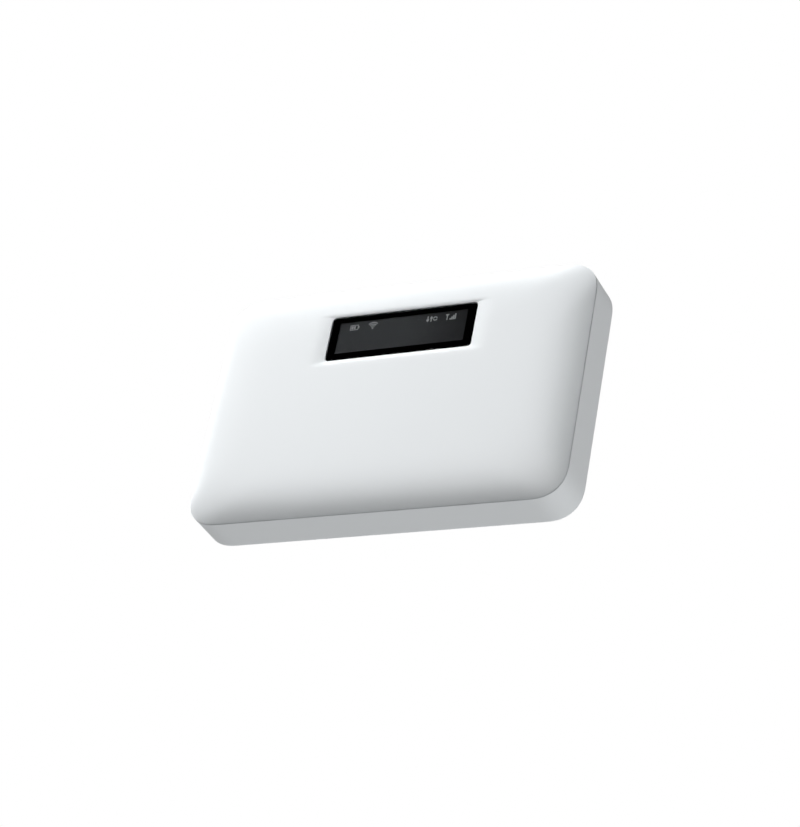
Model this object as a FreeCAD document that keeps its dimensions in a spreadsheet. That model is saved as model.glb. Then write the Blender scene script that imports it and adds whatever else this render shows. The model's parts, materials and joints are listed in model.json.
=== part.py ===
import FreeCAD, Part
import math
import os
from types import SimpleNamespace

import Sketcher

# Pocket mobile hotspot: a palm-sized battery-powered router, as separate pieces.
#
# Frame: millimetres, +Z out of the crowned face, origin at the middle of the flat underside.
# +X runs along the long side. The display window lies towards +Y. The charging socket and the
# reset pinhole are in the -X end, and the power button is in the +Y side.

SHEET_NAME = "Sizes"
PART_FOLDER = "parts"

# Driving dimensions, in millimetres. Sketches, primitives and placements are bound to their cells.
SIZES = {
    # case
    "case_length": 107.0,
    "case_width": 69.6,
    "case_height": 13.9,
    "corner_radius": 7.6,
    "base_edge_radius": 1.5,
    "wall": 1.5,
    "recess_floor": 1.2,
    "cavity_floor": 2.4,
    "seam_height": 11.9,
    "seam_gap": 0.25,
    "rebate_depth": 1.2,
    "rebate_width": 0.75,
    "lip_clearance": 0.1,
    # crowned front cover
    "crown_roll": 20.0,
    "crown_corner_growth": 0.25,
    "cover_skin": 1.2,
    "cover_boss_radius": 2.4,
    # display
    "window_y": 18.7,
    "window_length": 42.2,
    "window_width": 13.4,
    "window_radius": 1.0,
    "window_top": 13.5,
    "window_thickness": 0.6,
    "window_clearance": 0.1,
    "window_frame_margin": 2.0,
    "window_frame_base": 11.9,
    "window_frame_radius": 2.0,
    "dish_side": 5.0,
    "dish_end": 1.5,
    "dish_ledge": 0.1,
    "view_x": -0.25,
    "view_y": 19.1,
    "view_length": 37.4,
    "view_width": 9.7,
    "view_radius": 0.15,
    "border_inset": 0.1,
    "mask_thickness": 0.08,
    "tape_thickness": 0.12,
    "panel_y": 18.7,
    "panel_length": 39.0,
    "panel_width": 11.2,
    "panel_top": 12.6,
    "panel_thickness": 0.9,
    "panel_gap": 0.15,
    "panel_radius": 0.2,
    "panel_hole_radius": 0.4,
    "backlight_thickness": 1.1,
    "backlight_ear": 1.2,
    "backlight_ear_cutback": 1.5,
    "bracket_margin": 1.0,
    "bracket_rail": 1.5,
    "ribbon_width": 12.0,
    "ribbon_thickness": 0.15,
    "ribbon_drop": 0.3,
    "ribbon_lead": 1.1,
    "ribbon_slope": 0.8,
    "connector_y": 8.9,
    "connector_width": 2.6,
    "connector_height": 0.9,
    "connector_end": 1.0,
    # battery door and bay
    "door_recess_length": 96.0,
    "door_recess_width": 58.6,
    "door_recess_radius": 4.0,
    "door_clearance": 0.2,
    "door_thickness": 1.1,
    "door_tab_length": 7.0,
    "door_tab_thickness": 0.9,
    "door_tab_rise": 1.1,
    "door_tab_inset": 1.4,
    "door_tab_radius": 0.2,
    "door_tab_spread": 20.0,
    "door_tab_clearance": 0.25,
    "door_notch_length": 12.0,
    "door_notch_depth": 1.6,
    "door_notch_y": 18.0,
    "bay_length": 63.4,
    "bay_width": 45.4,
    "bay_top": 6.6,
    "bay_wall": 1.0,
    "bay_radius": 0.6,
    "bay_roof": 0.8,
    "battery_clearance": 0.3,
    "battery_base": 1.35,
    "battery_thickness": 5.0,
    "battery_edge_radius": 0.8,
    "battery_corner_radius": 1.2,
    "battery_cap_length": 3.0,
    "battery_cap_radius": 0.5,
    "battery_pad_pitch": 2.5,
    "battery_pad_width": 1.5,
    "battery_pad_height": 2.2,
    "battery_pad_thickness": 0.1,
    "battery_pad_recess": 0.15,
    "connector_depth": 4.2,
    "connector_gap": 0.2,
    "spring_width": 0.8,
    "spring_thickness": 0.5,
    "spring_gap": 0.05,
    "contact_window_height": 2.8,
    "label_thickness": 0.1,
    "label_length": 20.0,
    "label_width": 36.0,
    "label_x": -20.0,
    # board
    "board_base": 8.8,
    "board_thickness": 0.8,
    "board_width": 63.2,
    "board_right": 46.2,
    "board_left": 45.8,
    "board_tab_reach": 51.4,
    "board_tab_width": 23.0,
    "board_tab_root": 4.0,
    "boss_x": 43.0,
    "boss_y": 25.0,
    "housing_boss_radius": 2.6,
    "screw_hole_radius": 0.95,
    "screw_radius": 0.8,
    "screw_head_radius": 1.5,
    "screw_head_height": 0.9,
    "screw_head_base": 2.3,
    "screw_length": 8.6,
    "screw_slot_length": 1.6,
    "screw_slot_width": 0.4,
    "screw_slot_depth": 0.5,
    "counterbore_radius": 1.75,
    "pilot_radius": 0.84,
    "pilot_depth": 2.4,
    # shields
    "shield_length": 35.0,
    "shield_width": 32.0,
    "shield_x": 20.0,
    "shield_y": -12.0,
    "shield_skin": 0.2,
    "shield_frame_height": 1.05,
    "shield_lid_lift": 0.2,
    "shield_top": 11.0,
    # charging socket
    "socket_width": 8.94,
    "socket_height": 3.26,
    "socket_length": 7.4,
    "socket_mouth_x": -52.9,
    "socket_skin": 0.3,
    "socket_hole_clearance": 0.25,
    "tongue_setback": 1.0,
    "tongue_width": 6.7,
    "tongue_thickness": 0.7,
    "contact_pitch": 0.5,
    "contact_width": 0.25,
    "contact_length": 4.0,
    "contact_thickness": 0.06,
    # power button and switches
    "button_x": 30.0,
    "button_z": 7.2,
    "button_length": 12.0,
    "button_height": 3.0,
    "button_proud": 0.4,
    "button_clearance": 0.15,
    "button_flange": 0.9,
    "button_flange_margin": 0.8,
    "button_flange_gap": 0.1,
    "button_flange_radius": 0.8,
    "switch_height": 1.4,
    "switch_depth": 0.8,
    "plunger_height": 0.8,
    "plunger_clearance": 0.05,
    "power_switch_length": 4.6,
    "power_switch_depth": 2.4,
    "power_plunger_width": 2.0,
    "power_plunger_length": 1.1,
    "power_plunger_reach": 0.9,
    "reset_y": 8.8,
    "reset_switch_width": 3.4,
    "reset_switch_depth": 2.4,
    "reset_plunger_width": 1.2,
    "reset_plunger_length": 1.0,
    "reset_plunger_reach": 0.5,
    "reset_gap": 0.8,
    "plunger_travel_room": 0.4,
    "pinhole_radius": 0.6,
    # subscriber card
    "card_length": 12.3,
    "card_width": 8.8,
    "card_thickness": 0.61,
    "card_base": 7.72,
    "card_y": 3.55,
    "card_pad_thickness": 0.06,
    "card_clearance": 0.04,
    "card_side_play": 0.15,
    "holder_y": 6.75,
    "holder_length": 10.0,
    "holder_wall": 0.25,
    "holder_side": 1.0,
    "holder_stop": 0.3,
    "card_window_y": -8.6,
    "card_window_length": 22.0,
    "card_window_margin": 3.0,
    # antennas
    "antenna_depth": 4.8,
    "antenna_base": 2.5,
    "antenna_top": 10.4,
    "antenna_inset": 0.6,
    "antenna_wall": 1.0,
    "antenna_roof": 0.8,
    "strip_thickness": 0.1,
    "strip_margin": 0.5,
    "strip_finger_width": 1.2,
    "strip_spine_width": 1.0,
    "strip_spine_offset": 1.4,
    "clip_thickness": 0.15,
    "clip_width": 1.2,
    "clip_foot": 2.4,
    "clip_arm": 1.4,
    "clip_height": 0.8,
    "clip_setback": 1.6,
}

CROWN_STEPS = 10  # straight-sided bands up the crown's roll
CROWN_EXPONENT = 3.6  # the roll falls away by this power of the distance from where it starts
CORNERS = ((-1, -1), (1, -1), (1, 1), (-1, 1))
OVERRUN = 1.0  # how far a cutting tool runs past the face it opens
FUSE_DEPTH = 0.2  # how far an added wall or boss runs into what it stands on
DISH_OVERRUN = 0.05  # how far the dish round the window is cut over the crown's top
ROUND_END_SLACK = 0.01  # keeps a pill outline's short sides from vanishing

doc = FreeCAD.newDocument("PocketHotspot")
pieces = []


# ---------------------------------------------------------------- measures


class Measure:
    """A length that carries both its number and the sheet expression that gives it."""

    def __init__(self, number, text):
        self.number = number
        self.text = text

    def __add__(self, other):
        other = measure(other)
        return Measure(self.number + other.number, f"({self.text} + {other.text})")

    def __sub__(self, other):
        other = measure(other)
        return Measure(self.number - other.number, f"({self.text} - {other.text})")

    def __mul__(self, factor):
        other = measure(factor)
        return Measure(self.number * other.number, f"({self.text} * {other.text})")

    def __truediv__(self, divisor):
        return Measure(self.number / divisor, f"({self.text} / {divisor})")

    def __neg__(self):
        return self * -1

    def __radd__(self, other):
        return measure(other) + self

    def __rsub__(self, other):
        return measure(other) - self

    __rmul__ = __mul__


def measure(value):
    """A plain number as a Measure; a Measure as it is."""
    return value if isinstance(value, Measure) else Measure(float(value), f"({float(value):.6f})")


dim = SimpleNamespace(**{alias: Measure(value, f"{SHEET_NAME}.{alias}") for alias, value in SIZES.items()})

# Levels and faces that several pieces share.
RIM = dim.seam_height + dim.seam_gap / 2
BOARD_TOP = dim.board_base + dim.board_thickness
SWITCH_BASE = dim.board_base - dim.switch_height
SWITCH_Z = dim.board_base - dim.switch_depth
COVER_INNER_TOP = dim.case_height - dim.cover_skin
LENS_BASE = dim.window_top - dim.window_thickness
MASK_BASE = LENS_BASE - dim.mask_thickness
TAPE_BASE = MASK_BASE - dim.tape_thickness
PANEL_BASE = dim.panel_top - dim.panel_thickness
BACKLIGHT_BASE = PANEL_BASE - dim.backlight_thickness
SOCKET_Z = dim.board_base - dim.socket_height / 2
BUTTON_FLANGE_FACE = dim.case_width / 2 - dim.wall - dim.button_flange_gap
BUTTON_INNER_FACE = BUTTON_FLANGE_FACE - dim.button_flange
PACK_LENGTH = dim.bay_length - 2 * dim.battery_clearance
PACK_WIDTH = dim.bay_width - 2 * dim.battery_clearance
PACK_Z = dim.battery_base + dim.battery_thickness / 2


def make_sheet():
    """Puts each driving dimension in its own aliased cell."""
    sheet = doc.addObject("Spreadsheet::Sheet", SHEET_NAME)
    for row, (alias, value) in enumerate(SIZES.items(), 1):
        sheet.set(f"A{row}", alias)
        sheet.set(f"B{row}", str(value))
        sheet.setAlias(f"B{row}", alias)
    doc.recompute()


def bind(thing, **properties):
    """Binds properties to measures. Two underscores in a name stand for a dot."""
    for name, value in properties.items():
        thing.setExpression(name.replace("__", "."), measure(value).text)


def place(thing, x, y, z):
    bind(thing, Placement__Base__x=x, Placement__Base__y=y, Placement__Base__z=z)
    return thing


def piece(thing, label):
    """Names a finished sub-part. Its label is the name of its file."""
    thing.Label = label
    pieces.append(thing)
    return thing


# ---------------------------------------------------------------- sketches


def new_sketch(body, plane, x, y, out):
    """A sketch on one of the body's origin planes, moved by x and y in it and out along its normal."""
    sketch = body.newObject("Sketcher::SketchObject", "Sketch")
    origin_plane = next(feature for feature in body.Origin.OriginFeatures if feature.Role == plane)
    sketch.AttachmentSupport = [(origin_plane, "")]
    sketch.MapMode = "FlatFace"
    bind(sketch, AttachmentOffset__Base__x=x, AttachmentOffset__Base__y=y, AttachmentOffset__Base__z=out)
    return sketch


def drive(sketch, kind, *geometry, by):
    """A driving constraint bound to a measure."""
    index = sketch.addConstraint(Sketcher.Constraint(kind, *geometry, measure(by).number))
    sketch.setExpression(f"Constraints[{index}]", measure(by).text)


def rounded_outline(sketch, length, width, radius):
    """A rounded rectangle centred on the sketch's origin: four sides and four tangent corner arcs."""
    half_sizes = measure(length).number / 2, measure(width).number / 2
    r = measure(radius).number
    sides, arcs = [], []
    for turn in range(4):
        quarter = FreeCAD.Rotation(FreeCAD.Vector(0, 0, 1), 90 * turn)
        along, across = half_sizes if turn % 2 == 0 else half_sizes[::-1]
        start = quarter.multVec(FreeCAD.Vector(r - along, -across, 0))
        end = quarter.multVec(FreeCAD.Vector(along - r, -across, 0))
        centre = quarter.multVec(FreeCAD.Vector(along - r, r - across, 0))
        sides.append(sketch.addGeometry(Part.LineSegment(start, end), False))
        circle = Part.Circle(centre, FreeCAD.Vector(0, 0, 1), r)
        first_angle = math.radians(90 * (turn - 1))
        arc = Part.ArcOfCircle(circle, first_angle, first_angle + math.pi / 2)
        arcs.append(sketch.addGeometry(arc, False))
    for turn in range(4):
        sketch.addConstraint(Sketcher.Constraint("Tangent", sides[turn], 2, arcs[turn], 1))
        sketch.addConstraint(Sketcher.Constraint("Tangent", arcs[turn], 2, sides[(turn + 1) % 4], 1))
        sketch.addConstraint(Sketcher.Constraint("Vertical" if turn % 2 else "Horizontal", sides[turn]))
    for arc in arcs[1:]:
        sketch.addConstraint(Sketcher.Constraint("Equal", arcs[0], arc))
    sketch.addConstraint(Sketcher.Constraint("Symmetric", arcs[0], 3, arcs[2], 3, -1, 1))
    drive(sketch, "Radius", arcs[0], by=radius)
    drive(sketch, "DistanceX", sides[3], 2, sides[1], 1, by=length)
    drive(sketch, "DistanceY", sides[0], 1, sides[2], 1, by=width)
    return sketch


def pill_outline(sketch, length, width):
    """A rounded rectangle whose ends are all but half-round."""
    return rounded_outline(sketch, length, width, measure(width) / 2 - ROUND_END_SLACK)


def circle_outline(sketch, radius):
    """A circle round the sketch's origin."""
    middle, up = FreeCAD.Vector(0, 0, 0), FreeCAD.Vector(0, 0, 1)
    circle = sketch.addGeometry(Part.Circle(middle, up, measure(radius).number), False)
    sketch.addConstraint(Sketcher.Constraint("Coincident", circle, 3, -1, 1))
    drive(sketch, "Radius", circle, by=radius)
    return sketch


def polygon_outline(sketch, corners):
    """Straight lines through corners, each of them driven from the sketch's origin."""
    points = [FreeCAD.Vector(x.number, y.number, 0) for x, y in corners]
    lines = [
        sketch.addGeometry(Part.LineSegment(first, second), False)
        for first, second in zip(points, points[1:] + points[:1])
    ]
    for index, line in enumerate(lines):
        following = lines[(index + 1) % len(lines)]
        sketch.addConstraint(Sketcher.Constraint("Coincident", line, 2, following, 1))
        drive(sketch, "DistanceX", -1, 1, line, 1, by=corners[index][0])
        drive(sketch, "DistanceY", -1, 1, line, 1, by=corners[index][1])
    return sketch


# ---------------------------------------------------------------- PartDesign features


def new_body(name):
    return doc.addObject("PartDesign::Body", name)


def pad(body, sketch, length):
    feature = body.newObject("PartDesign::Pad", "Pad")
    feature.Profile = sketch
    bind(feature, Length=length)
    return feature


def pocket(body, sketch, depth):
    """Cuts along the sketch's normal, and makes sure that material went."""
    doc.recompute()
    before = body.Shape.Volume
    feature = body.newObject("PartDesign::Pocket", "Pocket")
    feature.Profile = sketch
    feature.Reversed = True
    bind(feature, Length=depth)
    doc.recompute()
    if body.Shape.Volume > before - 1e-6:
        raise ValueError(f"{feature.Name} in {body.Name} removed nothing: {before} to {body.Shape.Volume}")
    return feature


def loft(body, kind, sections):
    """kind is Additive or Subtractive."""
    feature = body.newObject(f"PartDesign::{kind}Loft", "Loft")
    feature.Profile = sections[0]
    feature.Sections = sections[1:]
    feature.Ruled = True
    return feature


def rounded_pad(body, length, width, radius, base, top, x=0, y=0):
    """A rounded block from base up to top."""
    sketch = new_sketch(body, "XY_Plane", x, y, base)
    return pad(body, rounded_outline(sketch, length, width, radius), measure(top) - base)


def rounded_pocket(body, length, width, radius, base, top, x=0, y=0):
    sketch = new_sketch(body, "XY_Plane", x, y, base)
    return pocket(body, rounded_outline(sketch, length, width, radius), measure(top) - base)


def round_pad(body, radius, base, top, x, y):
    sketch = new_sketch(body, "XY_Plane", x, y, base)
    return pad(body, circle_outline(sketch, radius), measure(top) - base)


def round_pocket(body, radius, base, top, x, y):
    sketch = new_sketch(body, "XY_Plane", x, y, base)
    return pocket(body, circle_outline(sketch, radius), measure(top) - base)


def fillet_plane(body, axis, level, radius):
    """Rounds every edge of the body's last shape that lies in the plane axis = level."""
    doc.recompute()
    place_along = measure(level).number
    flat_edges = []
    for number, edge in enumerate(body.Tip.Shape.Edges, 1):
        low = getattr(edge.BoundBox, f"{axis}Min")
        high = getattr(edge.BoundBox, f"{axis}Max")
        if abs(low - place_along) < 1e-4 and abs(high - place_along) < 1e-4:
            flat_edges.append(f"Edge{number}")
    base = body.Tip
    feature = body.newObject("PartDesign::Fillet", "Fillet")
    feature.Base = (base, flat_edges)
    bind(feature, Radius=radius)
    return feature


def plate(label, length, width, radius, base, top, x=0, y=0):
    """A flat rounded piece of its own."""
    body = new_body(label)
    rounded_pad(body, length, width, radius, base, top, x, y)
    return piece(body, label)


# ---------------------------------------------------------------- Part primitives


def block(length, width, height, x, y, base):
    """A box centred on x and y, standing on base."""
    box = doc.addObject("Part::Box", "Box")
    bind(box, Length=length, Width=width, Height=height)
    return place(box, x - measure(length) / 2, y - measure(width) / 2, base)


def disc(radius, height, x, y, base):
    cylinder = doc.addObject("Part::Cylinder", "Cylinder")
    bind(cylinder, Radius=radius, Height=height)
    return place(cylinder, x, y, base)


def cut(base, *tools):
    for tool in tools:
        result = doc.addObject("Part::Cut", "Cut")
        result.Base = base
        result.Tool = tool
        base = result
    return base


def fuse(*shapes):
    result = doc.addObject("Part::MultiFuse", "Fuse")
    result.Shapes = list(shapes)
    return result


def together(*shapes):
    """Several loose solids as one sub-part."""
    result = doc.addObject("Part::Compound", "Group")
    result.Links = list(shapes)
    return result


def frame_ring(length, width, height, rail, x, y, base):
    """A rectangular frame whose four rails are as wide as rail."""
    return cut(
        block(length, width, height, x, y, base),
        block(length - 2 * rail, width - 2 * rail, height, x, y, base),
    )


# ---------------------------------------------------------------- case


def case_plan(inset):
    """Length, width and corner radius of the case's outline, moved in by inset."""
    return dim.case_length - 2 * inset, dim.case_width - 2 * inset, dim.corner_radius - inset


def boss_places():
    return [(side_x * dim.boss_x, side_y * dim.boss_y) for side_x, side_y in CORNERS]


def door_tab_places():
    """(x, y, length, width) of the door's locating tabs: two on each long edge and one at each end."""
    end_x = dim.door_recess_length / 2 - dim.door_tab_inset
    edge_y = dim.door_recess_width / 2 - dim.door_tab_inset
    long_edge = [
        (side_x * dim.door_tab_spread, side_y * edge_y, dim.door_tab_length, dim.door_tab_thickness)
        for side_x, side_y in CORNERS
    ]
    ends = [(side * end_x, measure(0), dim.door_tab_thickness, dim.door_tab_length) for side in (-1, 1)]
    return long_edge + ends


def make_rear_housing():
    """Deep tub: the straight side band, the underside with its door recess, and the battery bay."""
    body = new_body("RearHousing")
    housing_top = dim.seam_height - dim.seam_gap / 2
    rounded_pad(body, dim.case_length, dim.case_width, dim.corner_radius, 0, housing_top)
    fillet_plane(body, "Z", 0, dim.base_edge_radius)
    above = housing_top + OVERRUN
    rounded_pocket(body, *case_plan(dim.wall), dim.cavity_floor, above)
    rounded_pocket(body, *case_plan(dim.rebate_width), dim.seam_height - dim.rebate_depth, above)
    bay_box = dim.bay_length + 2 * dim.bay_wall, dim.bay_width + 2 * dim.bay_wall
    bay_base = dim.cavity_floor - FUSE_DEPTH
    rounded_pad(body, *bay_box, dim.bay_radius + dim.bay_wall, bay_base, dim.bay_top + dim.bay_roof)
    for x, y in boss_places():
        round_pad(body, dim.housing_boss_radius, dim.cavity_floor - FUSE_DEPTH, dim.board_base, x, y)
    recess = dim.door_recess_length, dim.door_recess_width, dim.door_recess_radius
    rounded_pocket(body, *recess, -OVERRUN, dim.recess_floor)
    rounded_pocket(body, dim.bay_length, dim.bay_width, dim.bay_radius, -OVERRUN, dim.bay_top)
    head_top = dim.screw_head_base + dim.screw_head_height
    for x, y in boss_places():
        round_pocket(body, dim.screw_hole_radius, -OVERRUN, dim.board_base + OVERRUN, x, y)
        round_pocket(body, dim.counterbore_radius, -OVERRUN, head_top, x, y)
    gap = 2 * dim.door_tab_clearance
    slot_top = dim.cavity_floor + OVERRUN
    for x, y, length, width in door_tab_places():
        rounded_pocket(body, length + gap, width + gap, dim.door_tab_radius, 0, slot_top, x, y)
    make_housing_openings(body)
    piece(body, "rear_housing")


def make_housing_openings(body):
    """The windows in the bay, and the holes in the side band."""
    card_window = dim.card_width + 2 * dim.card_window_margin, dim.card_window_length, 1
    roof_top = dim.bay_top + dim.bay_roof
    rounded_pocket(body, *card_window, dim.bay_top - 0.5, roof_top + OVERRUN, 0, dim.card_window_y)
    contacts = new_sketch(body, "YZ_Plane", 0, PACK_Z, dim.bay_length / 2 - 0.5)
    rounded_outline(contacts, 5 * dim.battery_pad_pitch, dim.contact_window_height, 0.4)
    pocket(body, contacts, dim.bay_wall + OVERRUN)
    outside_end = -dim.case_length / 2 - OVERRUN
    socket_hole = new_sketch(body, "YZ_Plane", 0, SOCKET_Z, outside_end)
    slack = 2 * dim.socket_hole_clearance
    pill_outline(socket_hole, dim.socket_width + slack, dim.socket_height + slack)
    pocket(body, socket_hole, dim.wall + 2 * OVERRUN)
    pinhole = new_sketch(body, "YZ_Plane", dim.reset_y, SWITCH_Z, outside_end)
    pocket(body, circle_outline(pinhole, dim.pinhole_radius), dim.wall + 2 * OVERRUN)
    outside_edge = -dim.case_width / 2 - OVERRUN
    button_hole = new_sketch(body, "XZ_Plane", dim.button_x, dim.button_z, outside_edge)
    slack = 2 * dim.button_clearance
    pill_outline(button_hole, dim.button_length + slack, dim.button_height + slack)
    pocket(body, button_hole, dim.wall + 1.5 * OVERRUN)


def crown_sections(body, top, rim_inset):
    """Rounded outlines up the crown's roll, from the rim inwards to the flat middle at top."""
    sections = []
    for step in range(CROWN_STEPS + 1):
        share_in = step / CROWN_STEPS
        share_up = 1 - (1 - share_in) ** CROWN_EXPONENT
        inset = rim_inset + dim.crown_roll * share_in
        radius = dim.corner_radius - rim_inset + dim.crown_corner_growth * dim.crown_roll * share_in
        sketch = new_sketch(body, "XY_Plane", 0, 0, RIM + (top - RIM) * share_up)
        rounded_outline(sketch, dim.case_length - 2 * inset, dim.case_width - 2 * inset, radius)
        sections.append(sketch)
    return sections


def make_front_cover():
    """Crowned lid with the display window's seat, a locating lip and four screw bosses."""
    body = new_body("FrontCover")
    loft(body, "Additive", crown_sections(body, dim.case_height, measure(0)))
    loft(body, "Subtractive", crown_sections(body, COVER_INNER_TOP, dim.wall))
    # Locating lip: a ring that drops into the housing's rebate.
    lip_base = dim.seam_height - dim.rebate_depth
    lip_inset = dim.rebate_width + dim.lip_clearance
    lip = new_sketch(body, "XY_Plane", 0, 0, lip_base)
    rounded_outline(lip, *case_plan(lip_inset))
    rounded_outline(lip, *case_plan(dim.wall))
    pad(body, lip, RIM + FUSE_DEPTH - lip_base)
    # The window's seat hangs below the skin as a frame, inside which the display rises.
    seat = dim.window_length + 2 * dim.window_frame_margin, dim.window_width + 2 * dim.window_frame_margin
    inside_skin = COVER_INNER_TOP + FUSE_DEPTH
    rounded_pad(body, *seat, dim.window_frame_radius, dim.window_frame_base, inside_skin, 0, dim.window_y)
    for x, y in boss_places():
        round_pad(body, dim.cover_boss_radius, BOARD_TOP, inside_skin, x, y)
        round_pocket(body, dim.pilot_radius, BOARD_TOP - OVERRUN, BOARD_TOP + dim.pilot_depth, x, y)
    above = dim.case_height + OVERRUN
    opening = dim.window_length + 2 * dim.window_clearance, dim.window_width + 2 * dim.window_clearance
    opening_radius = dim.window_radius + dim.window_clearance
    rounded_pocket(body, *opening, opening_radius, TAPE_BASE, above, 0, dim.window_y)
    display_hole = dim.panel_length + 2 * dim.panel_gap, dim.panel_width + 2 * dim.panel_gap
    below = dim.window_frame_base - OVERRUN
    hole_top = TAPE_BASE + OVERRUN / 2
    rounded_pocket(body, *display_hole, dim.panel_hole_radius, below, hole_top, 0, dim.panel_y)
    # Shallow dish that leads the crown down to the window, wide at the ends and narrow above and below.
    low = new_sketch(body, "XY_Plane", 0, dim.window_y, dim.window_top)
    ledge = 2 * dim.dish_ledge
    rounded_outline(low, opening[0] + ledge, opening[1] + ledge, opening_radius + dim.dish_ledge)
    high = new_sketch(body, "XY_Plane", 0, dim.window_y, dim.case_height + DISH_OVERRUN)
    dish = dim.window_length + 2 * dim.dish_side, dim.window_width + 2 * dim.dish_end
    rounded_outline(high, *dish, dim.window_radius + dim.dish_end)
    loft(body, "Subtractive", [low, high])
    piece(body, "front_cover")


def make_battery_door():
    """Flush panel over the battery, with locating tabs and a fingernail notch in its -X edge."""
    body = new_body("BatteryDoor")
    gap = 2 * dim.door_clearance
    length, width = dim.door_recess_length - gap, dim.door_recess_width - gap
    rounded_pad(body, length, width, dim.door_recess_radius - dim.door_clearance, 0, dim.door_thickness)
    tab_base, tab_top = dim.door_thickness - FUSE_DEPTH, dim.door_thickness + dim.door_tab_rise
    for x, y, tab_length, tab_width in door_tab_places():
        rounded_pad(body, tab_length, tab_width, dim.door_tab_radius, tab_base, tab_top, x, y)
    notch = 2 * dim.door_notch_depth, dim.door_notch_length, dim.door_notch_depth - ROUND_END_SLACK
    rounded_pocket(body, *notch, -OVERRUN, dim.door_thickness + OVERRUN, -length / 2, dim.door_notch_y)
    piece(body, "battery_door")


# ---------------------------------------------------------------- display


def make_display():
    """Lens, printed border, tape, liquid-crystal panel, backlight and bracket, from the outside in."""
    lens = dim.window_length, dim.window_width, dim.window_radius
    plate("display_window", *lens, LENS_BASE, dim.window_top, 0, dim.window_y)
    inset = dim.border_inset
    border = dim.window_length - 2 * inset, dim.window_width - 2 * inset, dim.window_radius - inset
    mask = new_body("WindowMask")
    rounded_pad(mask, *border, MASK_BASE, LENS_BASE, 0, dim.window_y)
    view = dim.view_length, dim.view_width, dim.view_radius
    rounded_pocket(mask, *view, MASK_BASE - OVERRUN, LENS_BASE + OVERRUN, dim.view_x, dim.view_y)
    piece(mask, "window_mask")
    tape = new_body("WindowTape")
    rounded_pad(tape, *border, TAPE_BASE, MASK_BASE, 0, dim.window_y)
    hole = dim.panel_length + 2 * dim.panel_gap, dim.panel_width + 2 * dim.panel_gap, dim.panel_hole_radius
    rounded_pocket(tape, *hole, TAPE_BASE - OVERRUN, MASK_BASE + OVERRUN, 0, dim.panel_y)
    piece(tape, "window_tape")
    panel = dim.panel_length, dim.panel_width, dim.panel_radius
    plate("lcd_panel", *panel, PANEL_BASE, dim.panel_top, 0, dim.panel_y)
    light = block(dim.panel_length, dim.panel_width, dim.backlight_thickness, 0, dim.panel_y, BACKLIGHT_BASE)
    ear_span = dim.panel_length + 2 * dim.backlight_ear
    ear_width = dim.panel_width - 2 * dim.backlight_ear_cutback
    ears = block(ear_span, ear_width, dim.backlight_thickness / 2, 0, dim.panel_y, BACKLIGHT_BASE)
    piece(fuse(light, ears), "lcd_backlight")
    bracket_length = dim.panel_length + 2 * dim.bracket_margin
    bracket_width = dim.panel_width + 2 * dim.bracket_margin
    bracket_height = BACKLIGHT_BASE - BOARD_TOP
    bracket = bracket_length, bracket_width, bracket_height, dim.bracket_rail
    piece(frame_ring(*bracket, 0, dim.panel_y, BOARD_TOP), "lcd_bracket")
    connector = dim.ribbon_width + 2 * dim.connector_end, dim.connector_width, dim.connector_height
    piece(block(*connector, 0, dim.connector_y, BOARD_TOP), "lcd_connector")
    make_ribbon()


def make_ribbon():
    """Flexible ribbon from the backlight's -Y edge, down a slope and into its connector."""
    edge = dim.panel_y - dim.panel_width / 2
    high = PANEL_BASE - dim.ribbon_drop
    low = BOARD_TOP + dim.connector_height / 2
    end = dim.connector_y + dim.connector_width / 2
    bend = edge - dim.ribbon_lead
    centre_line = [(edge, high), (bend, high), (bend - dim.ribbon_slope, (high + low) / 2), (end, low)]
    half = dim.ribbon_thickness / 2
    upper = [(y, z + half) for y, z in centre_line]
    lower = [(y, z - half) for y, z in centre_line]
    body = new_body("LcdRibbon")
    sketch = new_sketch(body, "YZ_Plane", 0, 0, -dim.ribbon_width / 2)
    pad(body, polygon_outline(sketch, upper + lower[::-1]), dim.ribbon_width)
    piece(body, "lcd_ribbon")


# ---------------------------------------------------------------- board and what is on it


def make_board():
    """Circuit board that fills the case, with a tab at -X that carries the charging socket."""
    body = new_body("MainBoard")
    length, middle = dim.board_right + dim.board_left, (dim.board_right - dim.board_left) / 2
    rounded_pad(body, length, dim.board_width, 1.5, dim.board_base, BOARD_TOP, middle)
    tab_length = dim.board_tab_reach - dim.board_left + dim.board_tab_root
    tab_middle = tab_length / 2 - dim.board_tab_reach
    rounded_pad(body, tab_length, dim.board_tab_width, 1, dim.board_base, BOARD_TOP, tab_middle)
    for x, y in boss_places():
        round_pocket(body, dim.screw_hole_radius, dim.board_base - OVERRUN, BOARD_TOP + OVERRUN, x, y)
    piece(body, "main_board")


def make_shield(name, x):
    """A soldered sheet-metal frame with a snap-on lid."""
    frame = dim.shield_length, dim.shield_width, dim.shield_frame_height, 2 * dim.shield_skin
    piece(frame_ring(*frame, x, dim.shield_y, BOARD_TOP), f"{name}_shield_frame")
    lid = new_body(f"{name.title()}Lid")
    lid_base = BOARD_TOP + dim.shield_lid_lift
    outer, inner = 3 * dim.shield_skin, dim.shield_skin
    outside = dim.shield_length + outer, dim.shield_width + outer, outer
    rounded_pad(lid, *outside, lid_base, dim.shield_top, x, dim.shield_y)
    inside = dim.shield_length + inner, dim.shield_width + inner, inner
    roof_base = dim.shield_top - dim.shield_skin
    rounded_pocket(lid, *inside, lid_base - OVERRUN, roof_base, x, dim.shield_y)
    piece(lid, f"{name}_shield_lid")


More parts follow.
